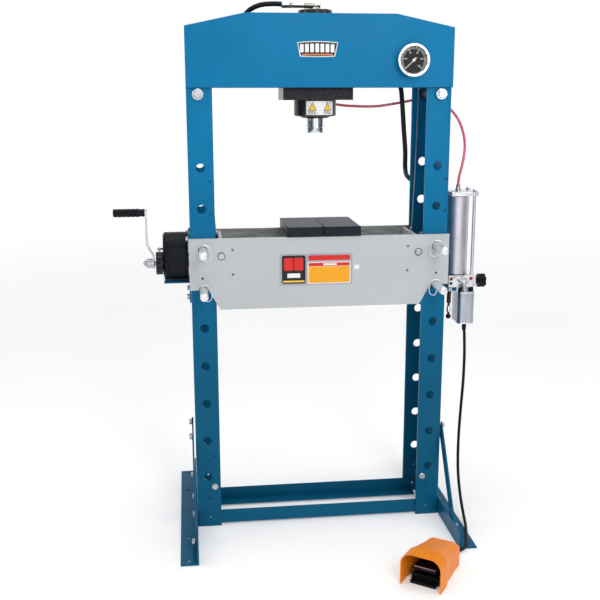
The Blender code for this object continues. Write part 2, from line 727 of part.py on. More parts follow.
def make_winch_cover():
    """A round cup over the drum and gears, open towards the column."""
    outer = 0.0855
    wall = 0.003
    closed_x, open_x = 0.0, 0.0895
    profile = [
        (outer - wall, open_x),
        (outer, open_x),
        (outer, closed_x + 0.010),
        (outer - 0.003, closed_x + 0.003),
        (outer - 0.010, closed_x),
        (0.0, closed_x),
    ]
    inside = [(0.0, closed_x + wall), (outer - 0.0085, closed_x + wall), (outer - wall, closed_x + 0.0085)]
    place = (-0.5565, MID_Y, DRUM_Z)
    shell = turned_mesh(list(reversed(profile)), ROUND)
    cover = add_object("winch_cover", shell, "black_plastic", place, ALONG_X)
    hollow = inside + [(outer - wall, open_x + 0.01)]
    boolean(cover, add_guide("cover_hollow", turned_mesh(hollow, ROUND), place, ALONG_X))
    hole = rod_mesh(0.0120, -0.02, 0.02)
    boolean(cover, add_guide("shaft_hole", hole, (-0.5565, CRANK_Y, CRANK_Z), ALONG_X))
    pin = rod_mesh(0.0032, -0.0195, 0.002, 12)
    boolean(cover, add_guide("pawl_pin", pin, (-0.5565, PAWL_Y, PAWL_Z), ALONG_X), "UNION")
    shade_round(cover)


def make_winch_drum():
    """The rope drum with its side flanges and its big gear."""
    left, right = -0.5400, -0.4730
    bore = 0.0083
    profile = [(bore, 0.0), (0.044, 0.0), (0.044, 0.004), (0.033, 0.004), (0.033, right - left - 0.004),
               (0.044, right - left - 0.004), (0.044, right - left), (bore, right - left)]
    place = (left, MID_Y, DRUM_Z)
    drum = add_object("winch_drum", turned_mesh(profile, 24, closed=True), "zinc", place, ALONG_X)
    pitch = GEAR_MODULE * GEAR_TEETH / 2
    outline = gear_outline(GEAR_TEETH, pitch + 0.8 * GEAR_MODULE, pitch - 1.2 * GEAR_MODULE)
    gear = add_guide("drum_gear", prism_mesh(outline, -0.0085, 0.001), place, ALONG_X)
    boolean(drum, gear, "UNION")
    hole = add_guide("drum_bore", rod_mesh(bore, -0.02, 0.09), place, ALONG_X)
    boolean(drum, hole)


def make_crank():
    """Crank shaft with its pinion, the ratchet wheel, the arm and the grip."""
    shaft_profile = [(0.0075, -0.1330), (0.0085, -0.1320), (0.0085, -0.0905), (0.0085, -0.0030),
                     (0.0075, -0.0020)]
    place = (-0.4700, CRANK_Y, CRANK_Z)
    shaft = add_object("crank_shaft", turned_mesh(shaft_profile, SMALL_ROUND), "zinc", place, ALONG_X)
    pitch = GEAR_MODULE * PINION_TEETH / 2
    toward = math.degrees(math.atan2(MID_Y - CRANK_Y, -(DRUM_Z - CRANK_Z)))
    outline = gear_outline(PINION_TEETH, pitch + 0.7 * GEAR_MODULE, pitch - 1.1 * GEAR_MODULE,
                           phase=toward + 180.0 / PINION_TEETH)
    pinion = add_guide("pinion", prism_mesh(outline, -0.0783, -0.0707), place, ALONG_X)
    boolean(shaft, pinion, "UNION")

    wheel = prism_mesh(gear_outline(16, 0.0405, 0.0365, 0.5, 0.8), 0.0, 0.0235)
    ratchet = add_object("ratchet_wheel", wheel, "black_paint", (-0.5810, CRANK_Y, CRANK_Z), ALONG_X)
    bore = add_guide("ratchet_bore", rod_mesh(0.0088, -0.01, 0.04), (-0.5810, CRANK_Y, CRANK_Z), ALONG_X)
    boolean(ratchet, bore)

    make_crank_arm()
    grip_profile = [
        (0.0, 0.0),
        (GRIP_RADIUS + 0.0015, 0.0),
        (GRIP_RADIUS + 0.0015, 0.006),
        (GRIP_RADIUS - 0.001, 0.010),
        (GRIP_RADIUS, 0.060),
        (GRIP_RADIUS - 0.001, GRIP_LENGTH - 0.012),
        (GRIP_RADIUS + 0.001, GRIP_LENGTH - 0.007),
        (GRIP_RADIUS, GRIP_LENGTH - 0.002),
        (GRIP_RADIUS - 0.003, GRIP_LENGTH),
        (0.0, GRIP_LENGTH),
    ]
    turn = (0.0, math.radians(-90), 0.0)
    place = (GRIP_START_X, CRANK_Y, CRANK_THROW_Z)
    grip = add_object("crank_grip", turned_mesh(grip_profile, 24), "black_plastic", place, turn)
    shade_round(grip)


def make_crank_arm():
    """A flat bar with a joggle, square-bored hub and rounded top, made in the XZ plane."""
    thick = 0.0065
    x_low, x_high = 0.0, -0.0215
    steps = [(x_low, -0.017), (x_low, 0.026), (x_high, 0.066), (x_high, CRANK_THROW_Z - CRANK_Z + 0.012)]
    right = [(x + thick / 2, z) for x, z in steps]
    left = [(x - thick / 2, z) for x, z in reversed(steps)]
    width = 0.026
    mesh = prism_mesh([(x, -z) for x, z in right + left], -width / 2, width / 2)
    place = (-0.5895, CRANK_Y, CRANK_Z)
    arm = add_object("crank_arm", mesh, "zinc", place, ALONG_Y)
    apply_rotation(arm)
    hub = rod_mesh(0.0172, -0.0245, 0.0040, 20, chamfer=0.002)
    boolean(arm, add_guide("crank_hub", hub, place, ALONG_X), "UNION")
    hole = rod_mesh(0.0088, -0.0145, 0.02)
    boolean(arm, add_guide("crank_bore", hole, place, ALONG_X))


def make_pawl():
    """A finger on a pin of the cover, resting just clear of the ratchet wheel's teeth."""
    outline = [(0.0055, 0.004), (0.0055, -0.004), (0.001, -0.0055), (-0.014, -0.0040), (-0.031, -0.0030),
               (-0.033, 0.0015), (-0.016, 0.0050), (0.001, 0.0055)]
    place = (-0.5690, PAWL_Y, PAWL_Z)
    mesh = prism_mesh([(-z, y) for y, z in outline], -0.004, 0.004)
    pawl = add_object("ratchet_pawl", mesh, "zinc", place, ALONG_X)
    boolean(pawl, add_guide("pawl_bore", rod_mesh(0.0035, -0.01, 0.01, 12), place, ALONG_X))


def make_pulley(name, x, middle_y, width):
    half = width / 2
    bore = AXLE_RADIUS + 0.0004
    profile = [
        (bore, -half),
        (PULLEY_RADIUS + 0.004, -half),
        (PULLEY_RADIUS + 0.004, -half + 0.002),
        (PULLEY_RADIUS - GAP, -half + 0.0045),
        (PULLEY_RADIUS - GAP, half - 0.0045),
        (PULLEY_RADIUS + 0.004, half - 0.002),
        (PULLEY_RADIUS + 0.004, half),
        (bore, half),
    ]
    pulley = add_object(name, turned_mesh(profile, 24, closed=True), "zinc", (x, middle_y, PULLEY_Z), ALONG_Y)
    shade_round(pulley)


def arc_route(x, y, start, end, steps):
    """Rope points over a pulley, between two angles in degrees."""
    reach = PULLEY_RADIUS + ROPE_RADIUS + 0.001
    return [(px, y, pz) for px, pz in arc((x, PULLEY_Z), reach, start, end, steps)]


def make_ropes():
    """Two lifting ropes from the drum, over the head pulleys, to the ends of the bed."""
    drum_y = MID_Y + 0.033 + ROPE_RADIUS + GAP
    up = LEFT_PULLEY_X - PULLEY_RADIUS - ROPE_RADIUS - 0.001
    down = LEFT_PULLEY_X * 2 - up
    left = [(-0.4905, drum_y, 1.0125), (-0.4900, drum_y, 1.040), (-0.4860, 0.1470, 1.054), (-0.4720, 0.146, 1.069),
            (-0.4570, 0.146, 1.085), (-0.4480, 0.148, 1.101), (up, 0.151, 1.125), (up, 0.162, 1.25),
            (up, 0.174, 1.42), (up, 0.182, 1.56)]
    left += arc_route(LEFT_PULLEY_X, ROPE_LEFT_Y, 180, 0, 8)
    left += [(down, 0.182, 1.56), (-0.3840, 0.174, 1.42), (-0.3780, 0.164, 1.28), (-0.3700, 0.155, 1.15),
             (-0.3645, 0.150, 1.075)]
    add_tube("lift_rope_left", left, ROPE_RADIUS, "zinc", 0.0)
    right = [(-0.4990, drum_y, 1.0125), (-0.4985, 0.149, 1.042), (-0.4930, 0.151, 1.056), (-0.4740, 0.154, 1.067),
             (-0.4570, 0.160, 1.084), (-0.4480, 0.164, 1.102), (up, 0.168, 1.130), (up, 0.180, 1.28),
             (up, 0.192, 1.43), (up, 0.199, 1.57)]
    right += arc_route(LEFT_PULLEY_X, ROPE_RIGHT_Y, 180, 90, 4)
    right += [(-0.1400, ROPE_RIGHT_Y, PULLEY_Z + 0.0293), (0.1400, ROPE_RIGHT_Y, PULLEY_Z + 0.0293)]
    right += arc_route(RIGHT_PULLEY_X, ROPE_RIGHT_Y, 90, 0, 4)
    right += [(0.3905, 0.198, 1.57), (0.3865, 0.189, 1.44), (0.3800, 0.176, 1.30), (0.3710, 0.160, 1.15),
              (0.3650, 0.150, 1.075)]
    add_tube("lift_rope_right", right, ROPE_RADIUS, "zinc", 0.0)


# ---------------------------------------------------------------- pump
def make_pump():
    low_x, high_x = PUMP_X - PUMP_PLATE_HALF, PUMP_X + PUMP_PLATE_HALF
    low_y, high_y = PUMP_Y - PUMP_PLATE_HALF, PUMP_Y + PUMP_PLATE_HALF
    web = COLUMN_SPAN / 2 + GAP
    upright = box_mesh((web, 0.078, 0.8600), (web + 0.006, 0.166, 1.020))
    bracket = add_object("pump_bracket", upright, "blue_paint")
    shelf = box_mesh((web + 0.003, 0.078, 0.8600), (0.527, 0.166, MANIFOLD_BOTTOM - GAP))
    boolean(bracket, add_guide("pump_shelf", shelf), "UNION")

    tube = [(AIR_RADIUS, AIR_BOTTOM + GAP), (AIR_RADIUS, AIR_TOP - GAP), (AIR_RADIUS - 0.003, AIR_TOP - GAP),
            (AIR_RADIUS - 0.003, AIR_BOTTOM + GAP)]
    cylinder = add_object("air_cylinder", turned_mesh(tube, ROUND, closed=True), "chrome", (AIR_X, PUMP_Y, 0))
    shade_round(cylinder)
    plate = box_mesh((low_x, low_y, AIR_TOP), (high_x, high_y, PUMP_TOP))
    top = add_object("pump_top_plate", plate, "aluminium")
    corners = [(TIE_ROD_X, PUMP_Y + side * TIE_ROD_OFFSET) for side in (-1, 1)]
    rods = [(rod_mesh(TIE_ROD_RADIUS, AIR_BOTTOM + GAP, AIR_TOP + 0.005, SMALL_ROUND),
             Matrix.Translation((*corner, 0))) for corner in corners]
    boolean(top, add_guide("tie_rods", joined_mesh(rods)), "UNION")
    manifold = box_mesh((low_x, low_y, MANIFOLD_BOTTOM), (MANIFOLD_RIGHT, high_y, AIR_BOTTOM))
    block = add_object("pump_manifold", manifold, "aluminium")
    for x in (0.5300, 0.5560):
        ear = box_mesh((x - 0.0015, low_y - 0.0190, 0.8905), (x + 0.0015, low_y + 0.002, 0.9110))
        boolean(block, add_guide("lever_ear", ear), "UNION")

    tank_low = (RESERVOIR_X[0], RESERVOIR_Y[0], RESERVOIR_Z[0])
    tank_high = (RESERVOIR_X[1], RESERVOIR_Y[1], RESERVOIR_Z[1])
    reservoir = add_object("reservoir", box_mesh(tank_low, tank_high), "aluminium")
    round_edges(reservoir, 0.004, 2)
    neck = rod_mesh(0.0165, RESERVOIR_Z[1] - 0.004, MANIFOLD_BOTTOM - GAP)
    neck_x = (RESERVOIR_X[0] + RESERVOIR_X[1]) / 2 - 0.003
    boolean(reservoir, add_guide("reservoir_neck", neck, (neck_x, 0.085, 0)), "UNION")


def make_pump_controls():
    """The star knob of the release valve, the hand-lever socket and the air valve's ball knob."""
    place = (MANIFOLD_RIGHT + GAP, KNOB_Y, KNOB_Z)
    knob = add_object("release_knob", rod_mesh(0.011, 0.0, 0.018), "black_plastic", place, ALONG_X)
    star = gear_outline(6, 0.0250, 0.0195, 0.42, 0.78)
    head = add_guide("knob_star", prism_mesh(star, 0.012, 0.0405), place, ALONG_X)
    boolean(knob, head, "UNION")

    face = PUMP_Y - PUMP_PLATE_HALF - GAP
    socket_place = (0.5430, face - 0.011, 0.9010)
    socket = add_object("lever_socket", rod_mesh(0.0090, -0.011, 0.011, SMALL_ROUND, 0.001), "zinc",
                        socket_place, ALONG_X)
    lean = (math.radians(158), 0.0, 0.0)
    tube = [(0.0085, 0.004), (0.0085, 0.036), (0.0060, 0.036), (0.0060, 0.012), (0.0, 0.012)]
    pipe = add_guide("socket_pipe", turned_mesh([(0.0, 0.004)] + tube, SMALL_ROUND), socket_place, lean)
    boolean(socket, pipe, "UNION")

    knob_place = (0.4935, 0.0640, 0.7670)
    profile = [(0.0, -0.0100), (0.0055, -0.0084), (0.0090, -0.0045), (0.0100, 0.0), (0.0090, 0.0045),
               (0.0045, 0.0088), (0.0045, MANIFOLD_BOTTOM - GAP - knob_place[2]),
               (0.0, MANIFOLD_BOTTOM - GAP - knob_place[2])]
    valve = add_object("air_valve_knob", turned_mesh(profile, SMALL_ROUND), "black_plastic", knob_place)
    shade_round(valve)


# ---------------------------------------------------------------- foot valve
def pedal_sections():
    """The hood's cross sections from front to back: (y, half width, height, corner radius)."""
    return [(-PEDAL_LENGTH / 2, PEDAL_HALF, 0.116, 0.040), (-0.050, PEDAL_HALF - 0.001, 0.117, 0.040),
            (-0.020, PEDAL_HALF - 0.008, 0.110, 0.036), (0.060, PEDAL_HALF - 0.013, 0.090, 0.028),
            (PEDAL_LENGTH / 2, PEDAL_HALF - 0.014, 0.080, 0.024)]


def hood_ring(y, half, height, corner, shrink):
    """One arch of the hood, from its left foot over the top to its right foot."""
    h, top, r = half - shrink, height - shrink, max(corner - shrink, 0.004)
    arch = [(-h, 0.0)] + arc((-h + r, top - r), r, 180, 90, 4) + arc((h - r, top - r), r, 90, 0, 4) + [(h, 0.0)]
    return [Vector((x, y, z)) for x, z in arch]


def make_pedal_hood():
    wall = 0.004
    sections = pedal_sections()
    bm = bmesh.new()
    outer = [[bm.verts.new(p) for p in hood_ring(*s, 0.0)] for s in sections]
    inner = [[bm.verts.new(p) for p in hood_ring(*s, wall)] for s in sections[:-1]]
    y, half, height, corner = sections[-1]
    inner.append([bm.verts.new(p) for p in hood_ring(y - wall, half, height, corner, wall)])
    for skin in (outer, inner):
        for near, far in zip(skin, skin[1:]):
            for i in range(len(near) - 1):
                bm.faces.new([near[i], near[i + 1], far[i + 1], far[i]])
        bm.faces.new(skin[-1])
    count = len(outer[0])
    for i in range(count - 1):
        bm.faces.new([outer[0][i], outer[0][i + 1], inner[0][i + 1], inner[0][i]])
    for i in (0, count - 1):
        for k in range(len(sections) - 1):
            bm.faces.new([outer[k][i], outer[k + 1][i], inner[k + 1][i], inner[k][i]])
    bm.faces.new([outer[-1][0], outer[-1][-1], inner[-1][-1], inner[-1][0]])
    mesh = mesh_from(bm, "hood")
    hood = add_object("pedal_hood", mesh, "orange_plastic", (*PEDAL_CENTRE, 0.0), (0, 0, PEDAL_TURN))
    shade_round(hood)
    port = rod_mesh(0.0105, 0.0, 0.05)
    place = Vector((0.0, PEDAL_LENGTH / 2 - 0.03, 0.030))
    place.rotate(Euler((0, 0, PEDAL_TURN)))
    place += Vector((*PEDAL_CENTRE, 0))
    boolean(hood, add_guide("hood_port", port, place, (math.radians(-90), 0, PEDAL_TURN)))


def make_pedal_inside():
    """The valve body on the floor and the treadle that rocks on it."""
    turn = (0, 0, PEDAL_TURN)
    base_low, base_high = (-0.050, -0.060, 0.0), (0.050, 0.085, 0.026)
    place = (*PEDAL_CENTRE, 0.0)
    base = add_object("pedal_base", box_mesh(base_low, base_high), "black_plastic", place, turn)
    nose = [(-0.047, -0.055), (-0.044, -0.084), (0.044, -0.084), (0.047, -0.055)]
    boolean(base, add_guide("pedal_nose", prism_mesh(nose, 0.0004, 0.010), place, turn), "UNION")
    ear = box_mesh((-0.0497, 0.040, 0.020), (-0.0440, 0.064, 0.050))
    boolean(base, add_guide("pedal_ear_left", ear, place, turn), "UNION")
    ear = box_mesh((0.0440, 0.040, 0.020), (0.0497, 0.064, 0.050))
    boolean(base, add_guide("pedal_ear_right", ear, place, turn), "UNION")

    pivot = Vector((0.0, 0.052, 0.044))
    side = [(0.014, -0.006), (0.014, 0.006), (-0.130, 0.012), (-0.130, 0.006)]
    outline = [(-z, y) for y, z in side]
    mesh = prism_mesh(outline, -0.0425, 0.0425)
    mesh.transform(Euler(ALONG_X).to_matrix().to_4x4())
    pivot.rotate(Euler(turn))
    place = pivot + Vector((*PEDAL_CENTRE, 0.0))
    treadle = add_object("treadle", mesh, "black_plastic", place, turn)
    round_edges(treadle, 0.001)


# ---------------------------------------------------------------- hoses
def make_hoses():
    pressure = [
        (-0.0866, MID_Y, 1.8815), (-0.105, MID_Y, 1.8820), (-0.150, 0.112, 1.8840), (-0.200, 0.113, 1.8790),
        (-0.240, 0.116, 1.8580), (-0.264, 0.125, 1.8200), (-0.268, 0.146, 1.7800), (-0.250, 0.178, 1.7460),
        (-0.210, 0.200, 1.7280), (-0.150, 0.2055, 1.7200), (0.0, 0.2065, 1.7130), (0.130, 0.2065, 1.7080),
        (0.200, 0.204, 1.7000), (0.254, 0.186, 1.6800), (0.290, 0.150, 1.6450), (0.305, 0.122, 1.6050),
        (0.310, 0.112, 1.5500), (0.318, 0.113, 1.4600), (0.328, 0.124, 1.3800), (0.337, 0.158, 1.3250),
        (0.349, 0.200, 1.2990), (0.366, 0.242, 1.2760), (0.395, 0.264, 1.2520), (0.438, 0.274, 1.2180),
        (0.486, 0.275, 1.1600), (0.520, 0.269, 1.0800), (0.535, 0.266, 1.0100), (0.539, 0.264, 0.9700),
        (0.5405, 0.2580, 0.9405), (0.5405, 0.2430, 0.9180), (0.5405, 0.2205, 0.9032), (0.5405, 0.194, 0.8980),
        (0.5405, 0.180, 0.8980), (0.5405, PUMP_Y + PUMP_PLATE_HALF + 0.0006, 0.8980),
    ]
    add_tube("hydraulic_hose", pressure, HOSE_RADIUS, "rubber", 0.042, 3)
    air = [
        (0.050, 0.1705, 1.5460), (0.062, 0.184, 1.5450), (0.090, 0.214, 1.5420), (0.140, 0.240, 1.5370),
        (0.240, 0.252, 1.5350), (0.330, 0.256, 1.5470), (0.410, 0.256, 1.5600), (0.470, 0.250, 1.5540),
        (0.510, 0.224, 1.5330), (0.538, 0.180, 1.4900), (0.552, 0.146, 1.4340), (0.551, 0.122, 1.3800),
        (0.541, 0.114, 1.3250), (0.531, 0.112, 1.2850), (0.528, 0.112, 1.2600), (0.528, 0.112, PUMP_TOP + 0.0005),
    ]
    add_tube("air_tube", air, AIR_TUBE_RADIUS, "red_tube", 0.025)
    pedal = [
        (0.571, 0.112, RESERVOIR_Z[0] - 0.0005), (0.571, 0.112, 0.715), (0.573, 0.110, 0.680),
        (0.574, 0.102, 0.600), (0.568, 0.086, 0.500), (0.556, 0.066, 0.390), (0.546, 0.046, 0.280),
        (0.541, 0.022, 0.170), (0.540, -0.020, 0.085), (0.537, -0.075, 0.035), (0.529, -0.135, 0.0145),
        (0.515, -0.190, 0.0125), (0.501, -0.240, 0.0125), (0.487, -0.280, 0.0125), (0.466, -0.309, 0.0105),
        (0.438, -0.322, 0.0110), (0.412, -0.334, 0.0220), (0.3925, -0.3490, 0.0290), (0.3815, -0.3617, 0.0300),
    ]
    add_tube("pedal_hose", pedal, PEDAL_HOSE_RADIUS, "rubber", 0.026)


# ---------------------------------------------------------------- whole press
clear_scene()
press_frame = make_frame()
make_column("column_left", -1)
make_column("column_right", 1)
make_head()
make_head_bolts()
make_base()
make_bed()
for word, side in (("left", -1), ("right", 1)):
    make_pin("bed_pin_upper_" + word, side, BED_PIN_ROW)
    make_pin("bed_pin_lower_" + word, side, BED_PIN_ROW + 1)
    make_press_block("press_block_" + word, side)
make_carriage()
make_cylinder()
make_ram()
make_elbow()
make_gauge()
make_winch_bracket()
make_winch_cover()
make_winch_drum()
make_crank()
make_pawl()
make_pulley("pulley_left", LEFT_PULLEY_X, (ROPE_LEFT_Y + ROPE_RIGHT_Y) / 2, 0.032)
make_pulley("pulley_right", RIGHT_PULLEY_X, ROPE_RIGHT_Y, 0.016)
make_ropes()
make_pump()
make_pump_controls()
make_pedal_hood()
make_pedal_inside()
make_hoses()
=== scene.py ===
"""Looks of the hydraulic shop press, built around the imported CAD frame.

Places are given in press coordinates: X = 0 midway between the columns, Y = 0 on the front faces of
the columns' front flanges, Z = 0 on the floor.  at() turns them into the frame's own coordinates.
"""

import json
import math

import bmesh
import bpy
from mathutils import Euler, Matrix, Vector

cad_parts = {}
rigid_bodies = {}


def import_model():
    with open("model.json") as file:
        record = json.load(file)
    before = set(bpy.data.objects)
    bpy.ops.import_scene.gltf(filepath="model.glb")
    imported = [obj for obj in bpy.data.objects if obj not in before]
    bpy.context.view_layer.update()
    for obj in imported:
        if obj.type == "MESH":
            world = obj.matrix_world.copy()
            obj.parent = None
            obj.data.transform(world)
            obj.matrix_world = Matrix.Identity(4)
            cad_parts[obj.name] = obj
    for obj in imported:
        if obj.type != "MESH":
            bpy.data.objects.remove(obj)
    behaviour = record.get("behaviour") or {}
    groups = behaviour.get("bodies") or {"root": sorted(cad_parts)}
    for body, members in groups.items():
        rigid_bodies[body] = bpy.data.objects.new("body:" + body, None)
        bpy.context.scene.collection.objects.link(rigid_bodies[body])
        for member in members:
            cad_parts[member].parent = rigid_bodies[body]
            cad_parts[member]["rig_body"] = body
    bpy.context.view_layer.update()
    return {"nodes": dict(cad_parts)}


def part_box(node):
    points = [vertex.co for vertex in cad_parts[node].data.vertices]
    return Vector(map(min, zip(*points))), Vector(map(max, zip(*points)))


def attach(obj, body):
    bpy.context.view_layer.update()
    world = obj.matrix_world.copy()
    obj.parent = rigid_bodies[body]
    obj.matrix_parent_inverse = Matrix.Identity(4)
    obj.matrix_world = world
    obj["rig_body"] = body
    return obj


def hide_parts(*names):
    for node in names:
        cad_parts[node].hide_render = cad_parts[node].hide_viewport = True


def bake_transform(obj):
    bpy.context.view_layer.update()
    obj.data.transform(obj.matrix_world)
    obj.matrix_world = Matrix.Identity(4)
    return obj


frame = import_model()

FRAME_BODY = "press_frame"
LEFT_COLUMN, RIGHT_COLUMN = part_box("column_left"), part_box("column_right")
ORIGIN = Vector(((LEFT_COLUMN[0].x + RIGHT_COLUMN[1].x) / 2, LEFT_COLUMN[0].y, 0.0))

GAP = 0.0003
COLUMN_HALF = (RIGHT_COLUMN[1].x - LEFT_COLUMN[0].x) / 2
COLUMN_DEPTH = LEFT_COLUMN[1].y - LEFT_COLUMN[0].y
MID_Y = COLUMN_DEPTH / 2
PLATE_THICK = 0.012
FRONT_PLATE_Y = -PLATE_THICK - GAP
REAR_PLATE_Y = COLUMN_DEPTH + GAP + PLATE_THICK
PIN_X = COLUMN_HALF - 0.043
PIN_PITCH = 0.1418
PIN_TOP = 1.3325
PIN_ROWS = (("upper", PIN_TOP - 2 * PIN_PITCH), ("lower", PIN_TOP - 3 * PIN_PITCH))
SIDES = ((-1, "left"), (1, "right"))
CYLINDER_X = -0.006
GAUGE = (0.311, 1.6917, 0.0545)
DRUM_Z = 1.0125
CRANK = (0.0545, 0.996)
PUMP_X, PUMP_Y = 0.5405, 0.112
AIR_X = 0.5285
TIE_ROD_X = 0.579
TIE_ROD_Y = (PUMP_Y - 0.042, PUMP_Y + 0.042)
PUMP_PLATE_HALF = 0.051
PUMP_BACK = PUMP_Y + PUMP_PLATE_HALF
PUMP_LID_TOP = 1.2312
AIR_TUBE_X = 0.528
FOOT_FACE = 0.4664
HEAD_BOLT = (0.42, 1.58)
PEDAL_PLACE = (0.317, -0.449)
PEDAL_TURN = math.radians(-36.4)
PEDAL_FACING = Euler((0, 0, PEDAL_TURN))

ALONG_X = Euler((0, math.radians(90), 0))
AGAINST_X = Euler((0, math.radians(-90), 0))
ALONG_Y = Euler((math.radians(-90), 0, 0))
AGAINST_Y = Euler((math.radians(90), 0, 0))
UPRIGHT = Euler((0, 0, 0))
UPSIDE_DOWN = Euler((math.radians(180), 0, 0))

SHARP_ANGLE = math.radians(32)
BEVEL_ANGLE = math.radians(40)
FLAT_ANGLE = math.radians(1.0)
WELD = 0.00002
THREAD_PITCH = 0.0014
FILM = 0.0005
CURVED_FILM = 0.0004
SMALL_BOLT = (0.017, 0.0075, 0.0115)
BED_BOLT = (0.0175, 0.0075, 0.0115)
FOOT_BOLT = (0.022, 0.01, 0.0155)


def at(x, y, z):
    return ORIGIN + Vector((x, y, z))


# ---------------------------------------------------------------- camera
def make_camera():
    """The photo's view, solved from the columns, pin holes and plates."""
    yaw, pitch, roll = math.radians(6.972), math.radians(12.809), math.radians(-0.103)
    forward = Vector((math.sin(yaw) * math.cos(pitch), math.cos(yaw) * math.cos(pitch), -math.sin(pitch)))
    level = Vector((math.cos(yaw), -math.sin(yaw), 0.0))
    above = level.cross(forward)
    right = level * math.cos(roll) + above * math.sin(roll)
    up = -level * math.sin(roll) + above * math.cos(roll)
    data = bpy.data.cameras.new("photo_camera")
    data.lens = 54.71
    data.sensor_width = 36.0
    data.clip_end = 60.0
    camera = bpy.data.objects.new("photo_camera", data)
    turn = Matrix((right, up, -forward)).transposed().to_4x4()
    camera.matrix_world = Matrix.Translation(at(-0.4615, -3.166, 1.5849)) @ turn
    bpy.context.scene.collection.objects.link(camera)
    bpy.context.scene.camera = camera


make_camera()


# ---------------------------------------------------------------- materials
class Nodes:
    """A short way to add and link shader nodes."""

    def __init__(self, name):
        self.material = bpy.data.materials.new(name)
        self.material.use_nodes = True
        self.tree = self.material.node_tree
        self.shader = self.tree.nodes["Principled BSDF"]

    def add(self, kind, **values):
        node = self.tree.nodes.new(kind)
        for key, value in values.items():
            if hasattr(node, key):
                setattr(node, key, value)
            else:
                node.inputs[key.replace("_", " ")].default_value = value
        return node

    def link(self, start, end):
        self.tree.links.new(start, end)

    def feed(self, socket, value):
        self.link(value, self.shader.inputs[socket])

    def set(self, **values):
        """Plain numbers and colours on the shader, the same all over the surface."""
        for key, value in values.items():
            self.shader.inputs[key.replace("_", " ")].default_value = value

    def place(self, stretch=(1, 1, 1)):
        """Object coordinates, stretched so that grain can run along one axis."""
        source = self.add("ShaderNodeTexCoord")
        mapping = self.add("ShaderNodeMapping")
        mapping.inputs["Scale"].default_value = stretch
        self.link(source.outputs["Object"], mapping.inputs["Vector"])
        return mapping.outputs["Vector"]

    def noise(self, place, scale, detail=3.0, roughness=0.5):
        node = self.add("ShaderNodeTexNoise", Scale=scale, Detail=detail, Roughness=roughness)
        self.link(place, node.inputs["Vector"])
        return node.outputs["Fac"]

    def spread(self, value, low, high, start=0.3, end=0.7):
        node = self.add("ShaderNodeMapRange")
        for key, number in (("From Min", start), ("From Max", end), ("To Min", low), ("To Max", high)):
            node.inputs[key].default_value = number
        self.link(value, node.inputs["Value"])
        return node.outputs["Result"]

    def mix(self, factor, first, second):
        node = self.add("ShaderNodeMix", data_type="RGBA")
        self.link(factor, node.inputs["Factor"])
        for socket, colour in ((node.inputs[6], first), (node.inputs[7], second)):
            if isinstance(colour, tuple):
                socket.default_value = (*colour, 1.0)
            else:
                self.link(colour, socket)
        return node.outputs[2]

    def clouded(self, pattern, colour, low, high, start=0.3, end=0.7):
        """A colour that a pattern makes darker and lighter by two factors."""
        return self.mix(self.spread(pattern, 0, 1, start, end), shade_of(colour, low), shade_of(colour, high))

    def component(self, source, axis):
        """One coordinate of the surface's place or direction in the world."""
        split = self.add("ShaderNodeSeparateXYZ")
        self.link(self.add("ShaderNodeNewGeometry").outputs[source], split.inputs[0])
        return split.outputs[axis]

    def bump(self, height, strength, distance, under=None):
        node = self.add("ShaderNodeBump", Strength=strength, Distance=distance)
        self.link(height, node.inputs["Height"])
        if under:
            self.link(under, node.inputs["Normal"])
        return node.outputs["Normal"]


def shade_of(colour, factor):
    return tuple(min(1.0, channel * factor) for channel in colour)


def make_paint(name, colour, roughness=0.36, variation=0.08, coat=0.05, dust=0.03, low=None, inner_shade=None,
               shine=0.2):
    """Sprayed enamel with orange peel and a trace of dust; if asked, painted shade darkens it low down and on
    the faces turned towards -Y.
    """
    n = Nodes(name)
    place = n.place()
    cloud = n.noise(place, 3.2, 4.0)
    base = n.clouded(cloud, colour, 1 - variation, 1 + variation)
    # Painted shade: the colour fades to the low colour towards the floor, as if the light fell off downwards.
    if low:
        fall = n.spread(n.component("Position", "Z"), 1, 0, *SHADE_FADE_HEIGHTS)
        base = n.mix(fall, base, low)
    # Painted shade: faces turned towards -Y, on the rear bed plate its inner face in the gap between the
    # plates, take a darker streaky colour.
    if inner_shade:
        blotches = n.noise(n.place((1.5, 1, 9)), 9.0, 5.0, 0.65)
        shaded_face = n.clouded(blotches, inner_shade, 0.7, 1.35)
        base = n.mix(n.spread(n.component("Normal", "Y"), 1, 0, -0.9, -0.5), base, shaded_face)
    speck = n.noise(place, 210.0, 4.0, 0.65)
    dusty = n.spread(speck, 0.0, dust, 0.52, 0.8)
    base = n.mix(dusty, base, (0.62, 0.62, 0.6))
    n.feed("Base Color", base)
    smear = n.noise(place, 11.0, 5.0)
    n.feed("Roughness", n.spread(smear, roughness - 0.05, roughness + 0.07))
    peel = n.noise(place, 420.0, 2.0)
    wave = n.noise(place, 38.0, 2.0)
    soft = n.bump(wave, 0.1, 0.0012)
    n.feed("Normal", n.bump(peel, 0.16, 0.00022, soft))
    n.set(Specular_IOR_Level=shine, Coat_Weight=coat, Coat_Roughness=0.12)
    return n.material


def make_metal(name, colour, roughness, grain, scale, strength, tarnish):
    """Bare or plated metal with machining marks along one axis and slight tarnish."""
    n = Nodes(name)
    place = n.place()
    cloud = n.noise(place, 24.0, 5.0, 0.6)
    n.feed("Base Color", n.clouded(cloud, colour, 1 + tarnish, 1 - tarnish, 0.35))
    streaks = n.noise(n.place(grain), scale, 4.0, 0.6)
    n.feed("Roughness", n.spread(streaks, roughness * 0.75, roughness * 1.35))
    n.feed("Normal", n.bump(streaks, strength, 0.0002))
    n.set(Metallic=1.0)
    return n.material


